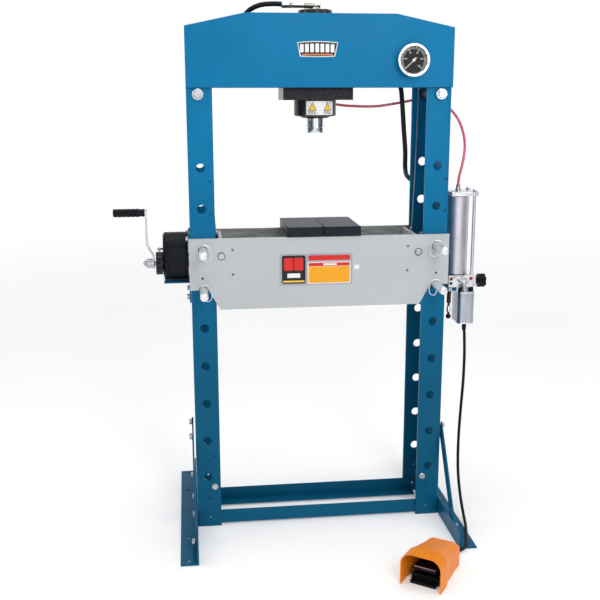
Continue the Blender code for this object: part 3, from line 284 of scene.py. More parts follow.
def make_moulded(name, colour, roughness=0.38, grain=500.0, strength=0.04, variation=0.05, coat=0.0,
                 shine=0.3):
    """Moulded plastic, rubber or a printed film, with a fine grain."""
    n = Nodes(name)
    place = n.place()
    cloud = n.noise(place, 14.0, 3.0)
    n.feed("Base Color", n.clouded(cloud, colour, 1 - variation, 1 + variation))
    fine = n.noise(place, grain, 3.0, 0.6)
    n.feed("Roughness", n.spread(fine, roughness - 0.06, roughness + 0.1))
    n.feed("Normal", n.bump(fine, strength, 0.00025))
    n.set(Specular_IOR_Level=shine, Coat_Weight=coat, Coat_Roughness=0.1)
    return n.material


def make_ground_steel(name, colour):
    """Dark oiled steel with grinding lines and stains."""
    n = Nodes(name)
    blotches = n.noise(n.place(), 26.0, 6.0, 0.65)
    n.feed("Base Color", n.clouded(blotches, colour, 0.6, 1.5))
    lines = n.noise(n.place((30, 1.5, 30)), 60.0, 5.0, 0.6)
    n.feed("Roughness", n.spread(lines, 0.3, 0.5))
    n.feed("Normal", n.bump(lines, 0.14, 0.0003))
    n.set(Metallic=0.08, Specular_IOR_Level=0.2, Specular_Tint=(0.72, 0.86, 1.0, 1.0))
    return n.material


def make_rope_steel(name, colour):
    """Wire rope: slanting strands, with painted shade darkening the valleys between them."""
    n = Nodes(name)
    source = n.add("ShaderNodeTexCoord")
    wave = n.add("ShaderNodeTexWave", wave_type="BANDS", bands_direction="DIAGONAL", Scale=330.0,
                 Distortion=0.4)
    n.link(source.outputs["Object"], wave.inputs["Vector"])
    strands = wave.outputs["Fac"]
    # Painted shade: the valleys between strands take a quarter of the colour.
    n.feed("Base Color", n.mix(strands, shade_of(colour, 0.25), colour))
    n.feed("Normal", n.bump(strands, 0.5, 0.0006))
    n.set(Metallic=0.9, Roughness=0.38)
    return n.material


def make_glass(name):
    """A clean flat cover, nearly all of which is seen through."""
    n = Nodes(name)
    smear = n.noise(n.place(), 40.0, 3.0)
    n.feed("Roughness", n.spread(smear, 0.01, 0.05))
    n.set(Base_Color=(0.03, 0.03, 0.035, 1), Alpha=0.05)
    return n.material


def make_clear_tube(name, colour):
    """Translucent polyurethane air tube."""
    n = Nodes(name)
    cloud = n.noise(n.place(), 60.0, 3.0)
    n.feed("Base Color", n.clouded(cloud, colour, 0.9, 1.1))
    n.feed("Roughness", n.spread(cloud, 0.1, 0.2))
    n.set(Subsurface_Weight=0.6, Subsurface_Scale=0.006, Coat_Weight=0.6)
    return n.material


# Heights over which the painted shade low down fades out going up: full at the lower one, gone at the upper.
SHADE_FADE_HEIGHTS = (at(0, 0, 0.55).z, at(0, 0, 1.45).z)
# The blue's low colour is painted shade that darkens the frame towards the floor.
BLUE = make_paint("enamel_blue", (0.001, 0.165, 0.35), coat=0.0, dust=0.006, low=(0.0015, 0.092, 0.185),
                  shine=0.1)
BED_PAINT = ((0.475, 0.5, 0.515), 0.38, 0.03, 0.1, 0.03)
BED_GREY = make_paint("enamel_light_grey", *BED_PAINT)
# The rear bed plate carries painted shade on its face towards the front plate.
BED_REAR = make_paint("enamel_grey_inner_shade", *BED_PAINT, inner_shade=(0.23, 0.245, 0.235))
BLACK_ENAMEL = make_paint("enamel_black", (0.008, 0.009, 0.012), 0.3, 0.25, 0.2, 0.08)
BLOCK = make_ground_steel("dark_ground_steel", (0.01, 0.0125, 0.019))
CHROME = make_metal("hard_chrome", (0.7, 0.72, 0.75), 0.17, (1, 1, 12), 90.0, 0.05, 0.06)
BORE_CHROME = make_metal("honed_tube_steel", (0.63, 0.61, 0.66), 0.42, (1, 1, 0.02), 300.0, 0.06, 0.06)
ZINC = make_metal("zinc_plate", (0.47, 0.49, 0.52), 0.3, (1, 1, 1), 300.0, 0.14, 0.2)
BRIGHT_STEEL = make_metal("bright_turned_steel", (0.8, 0.82, 0.84), 0.3, (1, 14, 1), 120.0, 0.1, 0.1)
ALUMINIUM = make_metal("milled_aluminium", (0.76, 0.77, 0.79), 0.26, (1, 30, 1), 60.0, 0.1, 0.06)
CAST_ALUMINIUM = make_metal("satin_aluminium", (0.68, 0.7, 0.73), 0.3, (40, 1, 1), 60.0, 0.12, 0.1)
TANK_ALUMINIUM = make_metal("drawn_aluminium", (0.44, 0.47, 0.52), 0.36, (1, 1, 0.03), 60.0, 0.1, 0.1)
BRASS = make_metal("nickel_brass", (0.55, 0.53, 0.48), 0.27, (1, 1, 1), 300.0, 0.12, 0.15)
RUBBER = make_moulded("hose_rubber", (0.009, 0.0095, 0.013), 0.42, 900.0, 0.3, 0.2, shine=0.13)
BLACK_PLASTIC = make_moulded("black_moulding", (0.006, 0.007, 0.01), 0.34, 800.0, 0.14, 0.15, shine=0.12)
ORANGE = make_moulded("orange_moulding", (0.8, 0.225, 0.008), 0.38, 500.0, 0.14, 0.06, 0.0, 0.2)
RED_TUBE = make_clear_tube("red_air_tube", (0.62, 0.12, 0.17))
ROPE = make_rope_steel("wire_rope", (0.55, 0.56, 0.58))
GLASS = make_glass("gauge_glass")
DIAL_BLACK = make_moulded("dial_black", (0.01, 0.01, 0.012), 0.5, 400.0, 0.05, 0.08)
PRINT_WHITE = make_moulded("print_white", (0.8, 0.8, 0.8), 0.45, 500.0, 0.04, 0.02)
PRINT_BLACK = make_moulded("print_black", (0.012, 0.012, 0.014), 0.35, 500.0, 0.05, 0.1)
PRINT_RED = make_moulded("print_red", (0.62, 0.022, 0.018))
PRINT_ORANGE = make_moulded("print_orange", (0.8, 0.2, 0.035))
PRINT_YELLOW = make_moulded("print_yellow", (0.85, 0.55, 0.05))
PRINT_AMBER = make_moulded("print_amber", (0.84, 0.36, 0.012))
LABEL_GREY = make_moulded("label_grey", (0.36, 0.37, 0.41))
PORT_RED = make_moulded("port_red", (0.3, 0.02, 0.03), 0.32, 500.0, 0.08, 0.1, 0.2)
STRIP_GREY = make_moulded("strip_light_grey", (0.55, 0.56, 0.57), 0.5, strength=0.3, variation=0.08)


# ---------------------------------------------------------------- mesh makers
def finish_mesh(bm, name):
    bmesh.ops.recalc_face_normals(bm, faces=bm.faces)
    mesh = bpy.data.meshes.new(name)
    bm.to_mesh(mesh)
    bm.free()
    mesh.shade_smooth()
    mesh.set_sharp_from_angle(angle=SHARP_ANGLE)
    return mesh


def disc(radius, low, high):
    return [(0.0, low), (radius, low), (radius, high), (0.0, high)]


def collar(inner, outer, low, high):
    return [(inner, low), (outer, low), (outer, high), (inner, high)]


def turned(profile, sides=32):
    """A profile of (radius, height) points turned about Z: a ring unless it starts on the axis."""
    bm = bmesh.new()
    closed = profile[0][0] > 0
    rings = []
    for radius, height in profile:
        if radius < 1e-7:
            rings.append([bm.verts.new((0, 0, height))])
            continue
        angles = [2 * math.pi * i / sides for i in range(sides)]
        rings.append([bm.verts.new((radius * math.cos(a), radius * math.sin(a), height)) for a in angles])
    pairs = list(zip(rings, rings[1:])) + ([(rings[-1], rings[0])] if closed else [])
    for low, high in pairs:
        for i in range(sides):
            j = (i + 1) % sides
            corners = [low[i % len(low)], low[j % len(low)], high[j % len(high)], high[i % len(high)]]
            bm.faces.new(list(dict.fromkeys(corners)))
    if not closed:
        for ring in (rings[0], rings[-1]):
            if len(ring) > 1:
                bm.faces.new(ring)
    return finish_mesh(bm, "turned")


def prism(outline, start, end):
    """An outline in the XY plane, extruded from Z = start to Z = end."""
    bm = bmesh.new()
    face = bm.faces.new([bm.verts.new((x, y, start)) for x, y in outline])
    grown = bmesh.ops.extrude_face_region(bm, geom=[face])
    tops = [item for item in grown["geom"] if isinstance(item, bmesh.types.BMVert)]
    bmesh.ops.translate(bm, vec=(0, 0, end - start), verts=tops)
    return finish_mesh(bm, "prism")


def block(low, high):
    bm = bmesh.new()
    bmesh.ops.create_cube(bm, size=1.0)
    size, middle = Vector(high) - Vector(low), (Vector(high) + Vector(low)) / 2
    bmesh.ops.transform(bm, matrix=Matrix.Translation(middle) @ Matrix.Diagonal((*size, 1.0)), verts=bm.verts)
    return finish_mesh(bm, "block")


def arc(centre, radius, start, end, steps):
    turns = [math.radians(start + (end - start) * i / steps) for i in range(steps + 1)]
    return [(centre[0] + radius * math.cos(t), centre[1] + radius * math.sin(t)) for t in turns]


def rounded_rectangle(x0, x1, y0, y1, radius, steps=5):
    points = arc((x1 - radius, y0 + radius), radius, -90, 0, steps)
    points += arc((x1 - radius, y1 - radius), radius, 0, 90, steps)
    points += arc((x0 + radius, y1 - radius), radius, 90, 180, steps)
    return points + arc((x0 + radius, y0 + radius), radius, 180, 270, steps)


def joined(items):
    """Several (mesh, matrix) shapes in one mesh."""
    bm = bmesh.new()
    for mesh, matrix in items:
        mesh.transform(matrix)
        bm.from_mesh(mesh)
    return finish_mesh(bm, "joined")


def smooth_points(route, spacing):
    """Evenly read points of the smooth curve (Catmull-Rom) through a route's own points."""
    ends = [2 * Vector(route[0]) - Vector(route[1])]
    knots = ends + [Vector(p) for p in route] + [2 * Vector(route[-1]) - Vector(route[-2])]
    fine = []
    for a, b, c, d in zip(knots, knots[1:], knots[2:], knots[3:]):
        steps = max(4, int((c - b).length / spacing * 4))
        for i in range(steps):
            t = i / steps
            fine.append(0.5 * (2 * b + (c - a) * t + (2 * a - 5 * b + 4 * c - d) * t**2
                               + (3 * b - a - 3 * c + d) * t**3))
    fine.append(knots[-2])
    length = sum((q - p).length for p, q in zip(fine, fine[1:]))
    count = max(2, round(length / spacing))
    points, walked, wanted = [fine[0]], 0.0, length / count
    for p, q in zip(fine, fine[1:]):
        step = (q - p).length
        while len(points) < count and walked + step >= wanted * len(points):
            points.append(p.lerp(q, (wanted * len(points) - walked) / step))
        walked += step
    points.append(fine[-1])
    return points


def swept(points, radius, sides):
    """A round tube with closed ends along points."""
    bm = bmesh.new()
    rings = []
    side = (points[1] - points[0]).normalized().orthogonal().normalized()
    turns = [2 * math.pi * k / sides for k in range(sides)]
    for before, point, after in zip(points[:1] + points[:-1], points, points[1:] + points[-1:]):
        along = (after - before).normalized()
        side = (side - along * side.dot(along)).normalized()
        other = along.cross(side)
        spokes = [side * math.cos(t) + other * math.sin(t) for t in turns]
        rings.append([bm.verts.new(point + radius * spoke) for spoke in spokes])
    for low, high in zip(rings, rings[1:]):
        for k in range(sides):
            bm.faces.new([low[k], low[(k + 1) % sides], high[(k + 1) % sides], high[k]])
    bm.faces.new(rings[0])
    bm.faces.new(rings[-1])
    return finish_mesh(bm, "swept")


# ---------------------------------------------------------------- pieces
def show(name, mesh, finish, place=(0, 0, 0), turn=UPRIGHT, body=FRAME_BODY, bevel=0.0, segments=2,
         replaces=()):
    """A new piece, in its place and riding on its body, if it has one."""
    piece = bpy.data.objects.new(name, mesh)
    bpy.context.scene.collection.objects.link(piece)
    mesh.materials.clear()
    mesh.materials.append(finish)
    piece.location = place
    piece.rotation_euler = turn
    if bevel:
        step = piece.modifiers.new("edges", "BEVEL")
        step.width = bevel
        step.segments = segments
        step.limit_method = "ANGLE"
        step.angle_limit = BEVEL_ANGLE
        step.harden_normals = True
    if body:
        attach(piece, body)
    if replaces:
        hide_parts(*replaces)
    return piece


def shape_of(thing):
    """The mesh of an object as its modifiers leave it."""
    bpy.context.view_layer.update()
    return bpy.data.meshes.new_from_object(thing.evaluated_get(bpy.context.evaluated_depsgraph_get()))


def cut(piece, mesh, place, turn, operation="DIFFERENCE"):
    """Cuts a shape out of a piece, or keeps only what the two share."""
    guide = bpy.data.objects.new("guide", mesh)
    bpy.context.scene.collection.objects.link(guide)
    guide.location = place
    guide.rotation_euler = turn
    step = piece.modifiers.new("cut", "BOOLEAN")
    step.operation = operation
    step.solver = "EXACT"
    step.object = guide
    result = shape_of(piece)
    piece.modifiers.remove(step)
    finish = piece.data.materials[0]
    piece.data = result
    result.materials.clear()
    result.materials.append(finish)
    for polygon in result.polygons:
        polygon.material_index = 0
    result.shade_smooth()
    result.set_sharp_from_angle(angle=SHARP_ANGLE)
    bpy.data.objects.remove(guide)


def refine(node, finish, bevel=0.0012):
    """A CAD node's own shape with its flat faces whole again and its edges rounded."""
    source = frame["nodes"][node]
    bm = bmesh.new()
    bm.from_mesh(source.data)
    bmesh.ops.remove_doubles(bm, verts=bm.verts, dist=WELD)
    bmesh.ops.dissolve_limit(bm, angle_limit=FLAT_ANGLE, verts=bm.verts, edges=bm.edges)
    mesh = finish_mesh(bm, node + "_fine")
    show(node + "_fine", mesh, finish, body=source["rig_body"], bevel=bevel, replaces=(node,))


def dress(finish, *nodes):
    """CAD nodes whose shape stays get a real finish."""
    for node in nodes:
        slots = frame["nodes"][node].data.materials
        for i in range(len(slots)):
            slots[i] = finish


def hex_outline(across, phase=0.0):
    radius = across / 2 / math.cos(math.radians(30))
    return [(radius * math.cos(math.radians(60 * i + phase)), radius * math.sin(math.radians(60 * i + phase)))
            for i in range(6)]


def hex_head(name, place, turn, across=0.019, height=0.0085, washer=0.0135, body=FRAME_BODY, stud=0.0):
    """A hexagon head or nut on a washer, with a chamfered top and a threaded stud if asked."""
    under = 0.0018
    top = under + height
    dome = [(0.0, -0.001), (across * 0.6, -0.001), (across * 0.6, under + height * 0.72),
            (across * 0.49, top), (0.0, top)]
    piece = show(name, prism(hex_outline(across, 11), under, top), ZINC, place, turn, body=None)
    cut(piece, turned(dome, 36), place, turn, "INTERSECT")
    hole, edge = across * 0.3, washer - 0.0006
    ring = [(hole, 0.0), (edge, 0.0), (washer, 0.0004), (washer, 0.0014), (edge, under), (hole, under)]
    parts = [(piece.data, Matrix()), (turned(ring, 36), Matrix())]
    if stud:
        thread = [(0.0, top - 0.001), (across * 0.27, top - 0.001)]
        for i in range(int(stud / THREAD_PITCH)):
            z = top + i * THREAD_PITCH
            thread += [(across * 0.29, z + 0.0003), (across * 0.255, z + 0.001)]
        thread += [(across * 0.22, top + stud), (0.0, top + stud)]
        parts.append((turned(thread, 20), Matrix()))
    piece.data = joined(parts)
    piece.data.materials.clear()
    piece.data.materials.append(ZINC)
    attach(piece, body)


def screw_head(name, place, turn, radius, height, body=FRAME_BODY):
    """A small domed screw head with a socket."""
    profile = [(0.0, 0.0006), (radius * 0.42, 0.0006), (radius * 0.45, height * 0.86),
               (radius * 0.62, height), (radius * 0.88, height * 0.72), (radius, height * 0.3),
               (radius, 0.0), (0.0, 0.0)]
    show(name, turned(profile, 24), ZINC, place, turn, body=body)


# ---------------------------------------------------------------- cords
def make_cord(name, route, radius, finish, body):
    """A free hose along its route; one without a body is attached to none."""
    points = [ORIGIN + p for p in smooth_points(route, radius * 2.2)]
    piece = show(name + "_tube", swept(points, radius, 18), finish, body=body)
    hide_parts(name)
    return piece


PRESSURE_ROUTE = [
    (-0.0866, 0.112, 1.8815), (-0.105, 0.112, 1.882), (-0.15, 0.112, 1.884), (-0.2, 0.113, 1.879),
    (-0.24, 0.116, 1.858), (-0.264, 0.125, 1.82), (-0.268, 0.146, 1.78), (-0.25, 0.178, 1.746),
    (-0.21, 0.2, 1.728), (-0.15, 0.2055, 1.72), (0.0, 0.2065, 1.713), (0.13, 0.2065, 1.708),
    (0.2, 0.204, 1.7), (0.254, 0.186, 1.68), (0.29, 0.15, 1.645), (0.305, 0.122, 1.605),
    (0.31, 0.112, 1.55), (0.318, 0.113, 1.46), (0.328, 0.124, 1.38), (0.337, 0.158, 1.325),
    (0.349, 0.2, 1.299), (0.366, 0.242, 1.276), (0.395, 0.264, 1.252), (0.438, 0.274, 1.218),
    (0.486, 0.275, 1.16), (0.52, 0.269, 1.08), (0.535, 0.266, 1.01), (0.539, 0.264, 0.97),
    (0.5405, 0.258, 0.9405), (0.5405, 0.243, 0.918), (0.5405, 0.2205, 0.9032), (0.5405, 0.194, 0.898),
    (0.5405, 0.18, 0.898), (0.5405, PUMP_BACK + 0.0006, 0.898),
]
AIR_ROUTE = [
    (0.05, 0.1705, 1.546), (0.062, 0.184, 1.545), (0.09, 0.214, 1.542), (0.14, 0.24, 1.537),
    (0.24, 0.252, 1.535), (0.33, 0.256, 1.547), (0.41, 0.256, 1.56), (0.47, 0.25, 1.554),
    (0.51, 0.224, 1.533), (0.538, 0.18, 1.49), (0.552, 0.146, 1.434), (0.551, 0.122, 1.38),
    (0.541, 0.114, 1.325), (0.531, 0.112, 1.285), (0.528, 0.112, 1.26), (0.528, 0.112, 1.2315),
]
PEDAL_ROUTE = [
    (0.571, 0.112, 0.7345), (0.571, 0.112, 0.715), (0.573, 0.11, 0.68), (0.574, 0.102, 0.6),
    (0.568, 0.086, 0.5), (0.556, 0.066, 0.39), (0.546, 0.046, 0.28), (0.541, 0.022, 0.17),
    (0.54, -0.02, 0.085), (0.537, -0.075, 0.035), (0.529, -0.135, 0.0145), (0.515, -0.19, 0.0125),
    (0.501, -0.24, 0.0125), (0.487, -0.28, 0.0125), (0.466, -0.309, 0.0105), (0.438, -0.322, 0.011),
    (0.412, -0.334, 0.022), (0.3925, -0.349, 0.029), (0.3815, -0.3617, 0.03),
]


def make_cords():
    pressure = make_cord("hydraulic_hose", PRESSURE_ROUTE, 0.0085, RUBBER, None)
    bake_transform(pressure)
    air = make_cord("air_tube", AIR_ROUTE, 0.005, RED_TUBE, None)
    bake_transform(air)
    make_cord("pedal_hose", PEDAL_ROUTE, 0.0055, RUBBER, FRAME_BODY)
    ferrule = [(0.009, 0.0), (0.0112, 0.001), (0.0112, 0.006), (0.0104, 0.008), (0.0112, 0.01),
               (0.0104, 0.013), (0.0112, 0.016), (0.0104, 0.019), (0.0112, 0.022), (0.0112, 0.034),
               (0.0098, 0.036), (0.0088, 0.036), (0.0088, 0.0)]
    show("hose_ferrule_top", turned(ferrule), ZINC, at(-0.087, 0.112, 1.8815), AGAINST_X,
         body="cylinder_head")
    show("hose_ferrule_pump", turned(ferrule), ZINC, at(0.5405, PUMP_BACK + 0.001, 0.898), ALONG_Y)
    sleeve = [(0.0057, 0.0), (0.0105, 0.0), (0.0105, 0.009), (0.0085, 0.011), (0.0078, 0.034),
              (0.0057, 0.036)]
    show("pedal_hose_relief", turned(sleeve, 24), RUBBER, at(0.571, 0.112, 0.7345), UPSIDE_DOWN)


make_cords()


# ---------------------------------------------------------------- finishes of the CAD nodes
def dress_nodes():
    """The CAD's own shapes, with their long flat faces whole and their edges softened."""
    for node in ("column_left", "column_right", "head_front_plate", "head_rear_plate", "cross_beam_front",
                 "cross_beam_rear", "foot_left", "foot_right", "strut_left_front", "strut_left_rear",
                 "strut_right_front", "strut_right_rear", "winch_bracket", "pump_bracket"):
        refine(node, BLUE)
    for node in ("bed_front_plate", "bed_rear_plate", "bed_spacer_left", "bed_spacer_right"):
        refine(node, BED_REAR if "rear" in node else BED_GREY)
    for node in ("press_block_left", "press_block_right"):
        refine(node, BLOCK, 0.001)
    # The head spacers are black partly as painted shade: besides the spacer blocks they stand for the shaded
    # channel of each column under the head.
    for node in ("head_spacer_left", "head_spacer_right", "cylinder_carriage", "ratchet_wheel"):
        refine(node, BLACK_ENAMEL, 0.0008)
    for node in ("head_bolt_left", "head_bolt_right"):
        refine(node, BRIGHT_STEEL, 0.0012)
    for node in ("winch_drum", "crank_shaft", "crank_arm", "ratchet_pawl",
                 "pulley_left", "pulley_right", "lever_socket"):
        refine(node, ZINC, 0.0006)
    for node in ("release_knob", "air_valve_knob", "pedal_base", "treadle"):
        refine(node, BLACK_PLASTIC, 0.0008)
    refine("pump_manifold", ALUMINIUM, 0.0012)
    refine("hose_elbow", BRASS, 0.0006)
    dress(ROPE, "lift_rope_left", "lift_rope_right")
    dress(GLASS, "gauge_lens")
    dress(PRINT_WHITE, "gauge_needle")


def make_round_pieces():
    """The large turned pieces, cut finer than their CAD solids."""
    centre = at(CYLINDER_X, MID_Y, 0)
    barrel = [(0.0314, 1.504), (0.0695, 1.504), (0.073, 1.5055), (0.0745, 1.509), (0.0745, 1.838),
              (0.051, 1.838), (0.051, 1.535), (0.0314, 1.535)]
    show("cylinder_barrel_fine", turned(barrel, 96), BLACK_ENAMEL, centre, body="cylinder_head",
         replaces=("cylinder_barrel",))
    cap = [(0.0, 1.8383), (0.0685, 1.8383), (0.0685, 1.8436), (0.0678, 1.8443), (0.06, 1.8448),
           (0.059, 1.8463), (0.059, 1.8605), (0.058, 1.8628), (0.056, 1.864), (0.044, 1.864),
           (0.043, 1.863), (0.0, 1.863)]
    piece = show("cylinder_cap_fine", turned(cap, 96), BLACK_ENAMEL, centre, body="cylinder_head",
                 replaces=("cylinder_cap",))
    for i in range(4):
        turn = Euler((0, 0, math.radians(90 * i)))
        cut(piece, block((0.055, -0.0045, 1.852), (0.07, 0.0045, 1.86)), centre, turn)
    ram = [(0.0, 1.4456), (0.0285, 1.4456), (0.0303, 1.4462), (0.031, 1.448), (0.031, 1.4606),
           (0.0295, 1.4621), (0.0295, 1.4646), (0.031, 1.4661), (0.031, 1.76), (0.05, 1.76), (0.05, 1.8),
           (0.0, 1.8)]
    show("ram_fine", turned(ram, 96), CHROME, centre, body="ram_rod", replaces=("ram",))
    pin = [(0.0, -0.134), (0.0112, -0.134), (0.0122, -0.1336), (0.014, -0.1312), (0.014, -0.1215),
           (0.0133, -0.1208), (0.0133, -0.1188), (0.014, -0.1181), (0.014, 0.252), (0.012, 0.254),
           (0.0, 0.254)]
    for row, z in PIN_ROWS:
        for side, name in SIDES:
            show(f"bed_pin_{row}_{name}_fine", turned(pin, 64), BRIGHT_STEEL, at(side * PIN_X, 0, z),
                 ALONG_Y, body=f"pin_{row}_{name}", replaces=(f"bed_pin_{row}_{name}",))
    tube = collar(0.036, 0.039, 0.9213, 1.2152)
    show("air_cylinder_fine", turned(tube, 96), BORE_CHROME, at(AIR_X, PUMP_Y, 0),
         replaces=("air_cylinder",))
    x, z, rim = GAUGE
    back = -PLATE_THICK - 2 * GAP
    case = [(0.0, back), (rim * 0.8, back), (rim * 0.8, back - 0.01), (rim - 0.003, back - 0.014),
            (rim - 0.0006, back - 0.0165), (rim, back - 0.0185), (rim, back - 0.034),
            (rim - 0.0008, back - 0.0358), (rim - 0.003, back - 0.037), (rim - 0.008, back - 0.037),
            (rim - 0.008, back - 0.026), (0.0, back - 0.026)]
    show("gauge_case_fine", turned(case, 96), CHROME, at(x, 0, z), ALONG_Y, replaces=("gauge_case",))
    cup = [(0.0, 0.0), (0.0755, 0.0), (0.08, 0.0012), (0.0825, 0.003), (0.0848, 0.0065), (0.0855, 0.01),
           (0.0855, 0.018), (0.0846, 0.019), (0.0846, 0.0225), (0.0855, 0.0235), (0.0855, 0.078),
           (0.0848, 0.0788), (0.0848, 0.082), (0.0855, 0.0828), (0.0855, 0.0895), (0.0825, 0.0895),
           (0.0825, 0.0085), (0.077, 0.003), (0.0, 0.003)]
    cover = turned(cup, 96)
    peg = [(0.0, -0.0195), (0.0024, -0.0195), (0.0032, -0.0187), (0.0032, 0.001), (0.0, 0.001)]
    pawl_pin = turned(peg, 24)
    reach = Matrix.Translation((-(1.042 - DRUM_Z), 0.0845 - MID_Y, 0))
    show("winch_cover_fine", joined([(cover, Matrix()), (pawl_pin, reach)]), BLACK_PLASTIC,
         at(-0.5565, MID_Y, DRUM_Z), ALONG_X, replaces=("winch_cover",))
    rod = disc(0.0062, 0.9213, 1.217)
    rods = [(turned(rod, 36), Matrix.Translation((TIE_ROD_X, y, 0))) for y in TIE_ROD_Y]
    half = PUMP_PLATE_HALF
    plate = rounded_rectangle(PUMP_X - half, PUMP_X + half, PUMP_Y - half, PUMP_Y + half, 0.003)
    top = joined([(prism(plate, 1.2155, 1.231), Matrix())] + rods)
    show("pump_top_plate_fine", top, CAST_ALUMINIUM, at(0, 0, 0), bevel=0.0008,
         replaces=("pump_top_plate",))
    tank = rounded_rectangle(0.532, 0.594, 0.061, 0.165, 0.017, 12)
    shell = prism(tank, 0.735, 0.858)
    neck = turned(disc(0.0165, 0.854, 0.8767), 48)
    body = joined([(shell, Matrix()), (neck, Matrix.Translation((0.56, 0.085, 0)))])
    show("reservoir_fine", body, TANK_ALUMINIUM, at(0, 0, 0), bevel=0.003, segments=4,
         replaces=("reservoir",))


# ---------------------------------------------------------------- fasteners
def make_frame_bolts():
    """Hexagon bolts of the struts, feet, beams, bed, winch and pump bracket."""
    for side, name in SIDES:
        outward = ALONG_X if side > 0 else AGAINST_X
        strut_face, foot_face, beam_x = side * 0.4727, side * FOOT_FACE, side * 0.3935
        for y, row in ((0.034, "front"), (0.19, "rear")):
            tag = f"{name}_{row}"
            hex_head(f"strut_bolt_top_{tag}", at(strut_face, y, 0.348), outward)
            hex_head(f"foot_bolt_{tag}", at(foot_face, y, 0.034), outward, *FOOT_BOLT)
        for y, row in ((-0.18, "front"), (0.404, "rear")):
            hex_head(f"strut_bolt_low_{name}_{row}", at(strut_face, y, 0.034), outward)
        hex_head(f"beam_bolt_front_{name}", at(beam_x, -GAP, 0.158), AGAINST_Y, *SMALL_BOLT)
        hex_head(f"beam_bolt_rear_{name}", at(beam_x, COLUMN_DEPTH + GAP, 0.158), ALONG_Y, *SMALL_BOLT)
        bed_x, bed_z = side * 0.3525, 1.027
        bed_bolt = at(bed_x, FRONT_PLATE_Y, bed_z)
        hex_head(f"bed_bolt_front_{name}", bed_bolt, AGAINST_Y, *BED_BOLT)
        # Painted shadow: a thin black ring behind each front bed bolt, reaching past its washer, stands in
        # for the shadow gap round it.
        seat = turned(collar(0.0085, 0.0138, 0.0, 0.0006), 40)
        show(f"bed_bolt_shadow_ring_{name}", seat, BLACK_ENAMEL, bed_bolt, AGAINST_Y)
        hex_head(f"bed_bolt_rear_{name}", at(bed_x, REAR_PLATE_Y, bed_z), ALONG_Y, stud=0.005)
    for y in (0.034, 0.19):
        for z in (0.876, 1.083):
            hex_head(f"winch_bracket_bolt_{y:.3f}_{z:.3f}", at(-0.4659, y, z), AGAINST_X, *SMALL_BOLT)
    for y in (0.1, 0.144):
        hex_head(f"pump_bracket_bolt_{y:.3f}", at(FOOT_FACE, y, 0.995), ALONG_X, *SMALL_BOLT)


def make_head_bolt_ends():
    """The hexagons of the two long head bolts, on their round shoulders."""
    x, z = HEAD_BOLT
    for side, name in SIDES:
        hex_head(f"head_hexagon_{name}", at(side * x, -0.0166, z), AGAINST_Y, 0.024, 0.007, 0.018)
        hex_head(f"head_nut_{name}", at(side * x, 0.2406, z), ALONG_Y, 0.024, 0.01, 0.0185, stud=0.004)


def make_pin_details():
    """Each bed pin carries a spring clip through its cross hole and a bright turned end."""
    for row, z in PIN_ROWS:
        for side, name in SIDES:
            body = f"pin_{row}_{name}"
            centre = Vector((side * PIN_X, -0.034, z))
            route = [(0.0, 0.0, 0.019), (0.0, 0.0, 0.0), (0.0, 0.0, -0.019), (0.001, -0.001, -0.027),
                     (0.008, -0.003, -0.034), (0.019, -0.005, -0.033), (0.027, -0.006, -0.022),
                     (0.028, -0.007, -0.004), (0.023, -0.008, 0.012), (0.012, -0.008, 0.022),
                     (0.001, -0.008, 0.0235), (-0.012, -0.008, 0.018)]
            points = [ORIGIN + centre + Vector((-side * x, y, h)) for x, y, h in route]
            show(f"pin_clip_{row}_{name}", swept(smooth_points(points, 0.002), 0.00165, 12), BRIGHT_STEEL,
                 body=body)
            ring = collar(0.0125, 0.01425, -0.0006, 0.0035)
            show(f"pin_shoulder_{row}_{name}", turned(ring, 40), ZINC, at(centre.x, -0.128, z), AGAINST_Y,
                 body=body, bevel=0.0004)


# ---------------------------------------------------------------- labels
def plate_on_front(name, x0, x1, z0, z1, finish, layer, corner):
    """A thin printed plate lying on a front plate or on the layers below it."""
    mesh = prism(rounded_rectangle(x0, x1, z0, z1, corner), 0.0, FILM)
    show(name, mesh, finish, at(0, FRONT_PLATE_Y - layer * FILM, 0), AGAINST_Y)


def make_badge():
    """A generic badge on the head: white edge, black field, orange strip and plain bars."""
    def shield(grow):
        top = [(x, 1.75 + grow + 0.004 * (1 - ((x + 0.0145) / 0.0695) ** 2))
               for x in [0.055 + grow - (0.139 + 2 * grow) * i / 12 for i in range(13)]]
        low = [(x, 1.704 - grow - 0.0015 * (1 - ((x + 0.0145) / 0.06) ** 2))
               for x in [-0.0745 - grow + (0.12 + 2 * grow) * i / 8 for i in range(9)]]
        return top + low

    show("badge_edge", prism(shield(0.0), 0.0, 0.0006), PRINT_WHITE, at(0, FRONT_PLATE_Y, 0), AGAINST_Y,
         bevel=0.0004)
    show("badge_field", prism(shield(-0.0028), 0.0006, 0.0011), PRINT_BLACK, at(0, FRONT_PLATE_Y, 0),
         AGAINST_Y)
    plate_on_front("badge_strip", -0.066, 0.037, 1.7085, 1.7125, PRINT_ORANGE, 2.3, 0.001)
    for i in range(7):
        start = -0.0745 + 0.0174 * i
        rise = 0.0022 * (1 - abs(i - 3) / 3)
        end = start + 0.0125
        plate_on_front(f"badge_bar_{i}", start, end, 1.7175, 1.744 + rise, PRINT_WHITE, 2.3, 0.0025)


